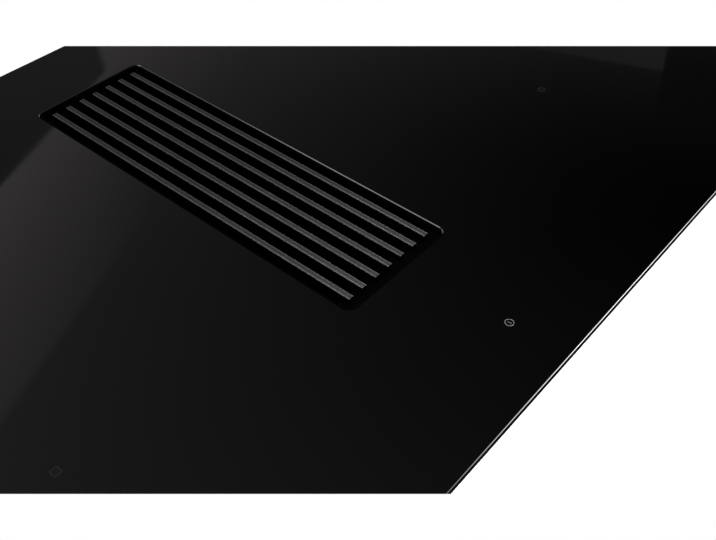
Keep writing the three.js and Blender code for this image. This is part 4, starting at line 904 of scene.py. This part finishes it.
# ----------------------------------------
# Blower scroll: housing and cover moulded in grey plastic. Screw bosses stand round its wall, with a tab and
# a screw on each, and low ribs stiffen the wall between them.

SCROLL_BASE_R = 0.092
SCROLL_GROWTH = 0.040
TONGUE_ANGLE = 1.13
SCROLL_WALL = 0.0025
SCROLL_RIB = (0.0020, 0.072, 0.0013, 0.0007, 0.0003)
BOSS_OUT = 0.0018
BOSS_CLEAR = 0.009
COVER_SHEET = 0.0025


def scroll_point(degrees, out):
    """A place outside the spiral wall, and the direction that faces away from it."""
    angle = math.radians(degrees)
    grown = SCROLL_GROWTH / (2 * math.pi - TONGUE_ANGLE)
    r = SCROLL_BASE_R + grown * (angle - TONGUE_ANGLE) + SCROLL_WALL + out
    x, y = math.cos(angle), math.sin(angle)
    facing = Vector((r * x + grown * y, r * y - grown * x)).normalized()
    return FAN_X + r * x, FAN_Y + r * y, (facing.x, facing.y, 0)


grey_plastic = moulded("grey_plastic", (0.115, 0.120, 0.125))
dress("scroll_housing", 0.0005, grey_plastic)
dress("scroll_cover", 0.0004, grey_plastic)
scroll_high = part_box("scroll_housing")[1]
cover_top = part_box("scroll_cover")[1].z
cover_under = cover_top - COVER_SHEET
bosses = [scroll_point(degrees, BOSS_OUT)[:2] for degrees in (150, 195, 235, 275, 315, 350)]
bosses += [(scroll_high.x + BOSS_OUT, y) for y in (0.060, 0.110, 0.160)]
build = bmesh.new()
for x, y in bosses:
    add_turned(build, [(0.0036, 0.003), (0.0042, 0.006), (0.0042, scroll_high.z - 0.0004),
                       (0.0038, scroll_high.z)], aimed((x, y, 0), (0, 0, 1)), 24)
for degrees in range(128, 352, 8):
    x, y, facing = scroll_point(degrees, 0.0)
    if min(math.hypot(x - bx, y - by) for bx, by in bosses) > BOSS_CLEAR:
        add_pad(build, SCROLL_RIB, aimed((x, y, scroll_high.z / 2), facing))
for y in (0.035, 0.048, 0.073, 0.086, 0.098, 0.123, 0.136, 0.148, 0.173):
    add_pad(build, SCROLL_RIB, aimed((scroll_high.x, y, scroll_high.z / 2), (1, 0, 0)))
fit(built("scroll_bosses", build), grey_plastic)
tab = [(0.0046, cover_under), (0.0050, cover_under + 0.0003),
       (0.0050, cover_top - 0.0003), (0.0046, cover_top)]
fit(turned("cover_tabs", tab, [((x, y, 0), (0, 0, 1)) for x, y in bosses], 24), grey_plastic)
fit(screws("cover_screws", [((x, y, cover_top), (0, 0, 1)) for x, y in bosses], 0.0026), screw_steel)

# ----------------------------------------
# Impeller and its outer-rotor motor: a moulded wheel with balance pockets pressed over a turned aluminium
# rotor cup, round a stator of stacked and lacquered steel.

POCKETS = 6
POCKET_R = 0.033
POCKET_TURN = 14
HUB_HEIGHT = 0.036

cast_alu, tree, look = surface("cast_aluminium", "aluminium", metallic=1.0)
mix = added(tree, 0.0, (grain(tree, 160.0), 0.4), (grain(tree, 900.0, 3.0, (0.2, 0.2, 1)), 0.6))
coat(tree, look, mix, (0.50, 0.51, 0.52), (0.68, 0.69, 0.70), (0.28, 0.46), 0.00004)
stator_steel = grained("stator_steel", (260.0, 2.0, (0.05, 0.05, 6)), (0.10, 0.105, 0.11), (0.34, 0.35, 0.36),
                       (0.35, 0.55), 0.0001, slot="sheet_steel", metallic=0.7)
dress("impeller", 0.0003, dark_plastic, "impeller")
dress("motor_rotor", 0.0005, cast_alu, "impeller")
dress("motor_base", 0.0005, stator_steel)
hub_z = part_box("impeller")[0].z + HUB_HEIGHT
build = bmesh.new()
for step in range(POCKETS):
    spot = round_fan(360 / POCKETS * step + POCKET_TURN, POCKET_R, hub_z)[0]
    add_turned(build, [(0.0030, -0.0001), (0.0030, 0.0007), (0.0026, 0.0010), (0.0014, 0.0010),
                       (0.0012, 0.0004)], aimed(spot, (0, 0, 1)))
add_turned(build, [(0.0070, -0.0001), (0.0070, 0.0022), (0.0064, 0.0028), (0.0030, 0.0028), (0.0028, 0.0014)],
           aimed((FAN_X, FAN_Y, hub_z), (0, 0, 1)), 32)
fit(built("hub_pockets", build), dark_plastic, body="impeller")

# ----------------------------------------
# Outlet: a dark moulded spigot for flat duct, screwed to the scroll by its flange, with a strip of foam near
# its end. A grey flap hangs in it on a stainless pin.

spigot_low, spigot_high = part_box("outlet_spigot")
DUCT_X = (spigot_low.x + spigot_high.x) / 2
DUCT_Z = 0.0475
DUCT_W = 0.222
DUCT_H = 0.089
DUCT_R = 0.004
FLANGE_Y = 0.1950
FLANGE_SCREW_X = 0.1134
FOAM_INSET = 0.003
dress("outlet_spigot", 0.0004, dark_plastic)
dress("flap_pin", 0.0003, stainless)
dress("backdraft_flap", 0.0003, grey_plastic, "flap")
flap_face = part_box("backdraft_flap")[0].y + 0.0016
ribs = [((0.0016, 0.062, 0.0012, 0.0006, 0.0003), (DUCT_X + x, flap_face, DUCT_Z - 0.008), (0, 1, 0))
        for x in (-0.080, -0.040, 0.0, 0.040, 0.080)]
ribs += [((0.200, 0.0016, 0.0012, 0.0006, 0.0003), (DUCT_X, flap_face, DUCT_Z + z), (0, 1, 0))
         for z in (-0.037, 0.020)]
pads("flap_ribs", ribs, grey_plastic, "flap")
fit(screws("flange_screws", [((DUCT_X + side * FLANGE_SCREW_X, FLANGE_Y, z), (0, 1, 0)) for side in BOTH
                             for z in (0.016, 0.0475, 0.079)], 0.0018, 0.0013), screw_steel)
foam_at = aimed((DUCT_X, spigot_high.y - FOAM_INSET, DUCT_Z), (0, 1, 0))
fit(lofted("duct_foam", [rounded(DUCT_W + 2 * grow, DUCT_H + 2 * grow, DUCT_R + max(grow, 0), along_y)
                         for grow, along_y in ((-0.0002, -0.010), (0.0010, -0.0096), (0.0014, -0.005),
                                               (0.0010, -0.0004), (-0.0002, 0.0))],
           crisp=50, closed=True, at=foam_at), foam_tape)
pads("spigot_ribs", [((0.0024, 0.028, 0.0014, 0.0008, 0.0004),
                      (DUCT_X + x, spigot_high.y - 0.029, DUCT_Z + DUCT_H / 2), (0, 0, 1))
                     for x in (-0.083, -0.028, 0.028, 0.083)], dark_plastic)

# ----------------------------------------
# Mains connection: a grey moulded box with a screwed lid, a terminal block with brass screws, and a cable
# gland with a hexagon body, a fluted cap and a rubber insert.

POLES = 5
POLE_PITCH = 0.014
POLE_OFF = 0.0045
LID_SCREW_X = 0.052
LID_SCREW_Y = 0.025

dress("terminal_box", 0.0005, grey_plastic)
dress("terminal_lid", 0.0005, grey_plastic)
dress("terminal_block", 0.0004, pale_plastic)
box_low, box_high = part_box("terminal_box")
box_x, box_y, box_z = ((low + high) / 2 for low, high in zip(box_low, box_high))
lid_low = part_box("terminal_lid")[0].z
fit(screws("lid_screws", [((box_x + side * LID_SCREW_X, box_y + end * LID_SCREW_Y, lid_low),
                           (0, 0, -1)) for side in BOTH for end in BOTH]), screw_steel)
rib = (0.0016, box_high.z - box_low.z - 0.010, 0.0010, 0.0006, 0.0003)
ribs = [(rib, (box_x + x / 1000, box_low.y, box_z), (0, -1, 0)) for x in range(-48, 49, 12)]
ribs += [(rib, (x, box_y + y, box_z), (side, 0, 0)) for y in (-0.020, -0.007, 0.006, 0.019)
         for side, x in ((-1, box_low.x), (1, box_high.x))]
pads("terminal_box_ribs", ribs, grey_plastic)

brass = grained("brass", (300.0,), (0.46, 0.30, 0.10), (0.66, 0.46, 0.18), (0.24, 0.42), slot="copper",
                metallic=1.0)
block_low, block_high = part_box("terminal_block")
block_y = (block_low.y + block_high.y) / 2
fit(screws("terminal_screws", [
    ((box_x + (pole - POLES // 2) * POLE_PITCH, block_y + end * POLE_OFF, block_low.z), (0, 0, -1))
    for pole in range(POLES) for end in BOTH], 0.0022, 0.0012), brass)


def add_fluted(build, profile, flutes, depth, steps):
    """Adds a tube to the gland through (radius, height, fluted) values, whose last ring joins its first."""

    def flute(turn):
        return depth * abs(math.sin(flutes * turn / 2))

    add_loft(build, [ring(lambda turn: radius - fluted * flute(turn), height, steps)
                     for radius, height, fluted in profile], gland_at, closed=True)


GLAND_GAP = 0.0003
gland_low, gland_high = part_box("cable_gland")
gland_middle = (gland_low + gland_high) / 2
gland_at = aimed((gland_middle.x, box_high.y + GLAND_GAP, gland_middle.z), (0, 1, 0))
build = bmesh.new()
add_fluted(build, [(0.0070, -0.0063, 0), (0.0108, -0.0063, 0), (0.0108, -0.0003, 0), (0.0144, 0.0, 1),
                   (0.0150, 0.0006, 1), (0.0150, 0.0059, 1), (0.0144, 0.0065, 1), (0.0122, 0.0068, 0),
                   (0.0070, 0.0068, 0)], 6, 0.0019, 96)
add_fluted(build, [(0.0070, 0.0070, 0), (0.0126, 0.0070, 1), (0.0130, 0.0076, 1), (0.0127, 0.0118, 1),
                   (0.0112, 0.0140, 0), (0.0094, 0.0151, 0), (0.0078, 0.0153, 0), (0.0074, 0.0146, 0)],
           22, 0.0007, 176)
fit(built("cable_gland_finished", build, 28), dark_plastic, "cable_gland")
build = bmesh.new()
add_fluted(build, [(0.0052, -0.0050, 0), (0.0069, -0.0050, 0), (0.0073, 0.0140, 0), (0.0066, 0.0148, 0),
                   (0.0054, 0.0146, 0)], 1, 0, 64)
fit(built("gland_insert", build, 28), foam_tape)

# ----------------------------------------
# Induction modules: an aluminium plate folded over the electronics, ferrite carriers, coils wound from
# twisted copper strand in a flat spiral, and a sheet of ceramic felt under the glass.

mill_alu = grained("mill_aluminium", (800.0, 3.0, (1, 0.04, 1)), (0.54, 0.55, 0.56), (0.70, 0.71, 0.72),
                   (0.26, 0.42), 0.00003, slot="aluminium", metallic=1.0)
ferrite = grained("ferrite", (2000.0, 2.0), (0.022, 0.022, 0.025), (0.05, 0.05, 0.055), (0.6, 0.8), 0.00006,
                  slot="ferrite_carrier", specular=0.3)
copper_strand, tree, look = surface("copper_strand", "copper", metallic=0.9)
wave = {"Scale": 420.0, "Distortion": 3.0, "Vector": own_place(tree)}
twist = add_node(tree, "TexWave", wave).outputs["Fac"]
coat(tree, look, twist, (0.30, 0.11, 0.04), (0.56, 0.26, 0.12), (0.28, 0.48, 0, 1), 0.0002,
     start=0.1, end=0.9)
ceramic_felt, tree, look = surface("ceramic_felt", "felt", specular=0.15)
fibre = grain(tree, 1200.0, 5.0, (1, 0.25, 1))
mix = added(tree, 0.0, (grain(tree, 90.0, 4.0), 0.4), (fibre, 0.6))
coat(tree, look, mix, (0.56, 0.54, 0.46), (0.78, 0.76, 0.68), spread(tree, fibre, 0.85, 1.0), 0.0004)

STRAND_R = 0.0016
STRAND_SIDES = 8
COIL_TURNS = 17.5
COIL_STEPS = 44
COIL_IN = 0.0290
COIL_OUT = 0.0862


def spiral(name, node):
    """A flat coil: one round strand from the inside out."""
    low_corner, high_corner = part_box(node)
    middle = (low_corner + high_corner) / 2
    strand = ring(lambda turn: STRAND_R, 0, STRAND_SIDES)
    steps = int(COIL_TURNS * COIL_STEPS)
    rings = []
    for step in range(steps + 1):
        angle = 2 * math.pi * step / COIL_STEPS
        r = COIL_IN + (COIL_OUT - COIL_IN) * step / steps
        rings.append([(middle.x + (r + out) * math.cos(angle), middle.y + (r + out) * math.sin(angle),
                       middle.z + rise) for out, rise, _ in strand])
    return lofted(name, rings, crisp=60)


for side, _ in SIDES:
    dress(f"coil_plate_{side}", 0.0005, mill_alu)
    dress(f"felt_{side}", 0.0008, ceramic_felt)
    for end in ("front", "back"):
        dress(f"coil_carrier_{side}_{end}", 0.0005, ferrite)
        node = f"coil_winding_{side}_{end}"
        fit(spiral(node + "_finished", node), copper_strand, node)

# ----------------------------------------
# Electronics: green lacquered boards with their capacitors, chokes, relays and rectifiers, extruded heat
# sinks, cooling fans, and the touch board that presses against the glass.

board_green, tree, look = surface("board_green", "circuit_board")
tracks = add_node(tree, "TexBrick", {
    "Color1": (0.020, 0.115, 0.048, 1), "Color2": (0.026, 0.135, 0.056, 1), "Mortar": (0.05, 0.2, 0.09, 1),
    "Scale": 130.0, "Mortar Size": 0.05, "Vector": own_place(tree)}).outputs
lacquer = grain(tree, 250.0, 2.0)
coat(tree, look, lacquer, tracks["Color"], None, (0.25, 0.45), 0.00004, relief=tracks["Fac"])
can_top = grained("can_top", (500.0, 2.0), (0.45, 0.45, 0.46), (0.62, 0.62, 0.63), (0.25, 0.4), metallic=1.0)
black_part = moulded("black_part", (0.018, 0.018, 0.019))
relay_part = moulded("relay_part", (0.30, 0.33, 0.36))
BOARD_PARTS = (board_green, black_part, can_top, copper_strand, relay_part)
BLACK, CAN_TOP, COPPER, RELAY = 1, 2, 3, 4
CAN_MOST = 0.025
ROUND_WITHIN = 0.002


def tall_parts(piece, board_top):
    """Gives each part that stands on a board its own material, by its shape seen from above."""
    build = bmesh.new()
    build.from_mesh(piece.data)
    left = {face for face in build.faces if face.calc_center_median().z > board_top + 0.0002}
    while left:
        part = [left.pop()]
        for face in part:
            for edge in face.edges:
                for other in edge.link_faces:
                    if other in left:
                        left.remove(other)
                        part.append(other)
        spots = [vert.co for face in part for vert in face.verts]
        wide = max(spot.x for spot in spots) - min(spot.x for spot in spots)
        deep = max(spot.y for spot in spots) - min(spot.y for spot in spots)
        is_round = abs(wide - deep) < ROUND_WITHIN and len(part) > 8
        for face in part:
            if is_round and wide < CAN_MOST:
                face.material_index = CAN_TOP if face.normal.z > 0.9 else BLACK
            elif is_round:
                face.material_index = COPPER
            else:
                face.material_index = RELAY if wide > deep else BLACK
    build.to_mesh(piece.data)
    build.free()
    return piece


BOARD_TOP = 0.1603
TOUCH_BOARD_TOP = 0.2022
for node, edge, board_top in (
        ("power_board_left", 0.0003, BOARD_TOP), ("power_board_right", 0.0003, BOARD_TOP),
        ("mains_filter_board", 0.0003, BOARD_TOP), ("touch_board", 0.0002, TOUCH_BOARD_TOP)):
    fit(tall_parts(softened(node, edge), board_top), BOARD_PARTS, node)
for side, _ in SIDES:
    dress(f"heat_sink_{side}", 0.0002, cast_alu)
    dress(f"fan_frame_{side}", 0.0004, dark_plastic)
    dress(f"fan_rotor_{side}", 0.0002, black_part, f"fan_{side}")

# ----------------------------------------
# The end: colours are shown through the Standard view transform.

bpy.context.scene.view_settings.view_transform = "Standard"
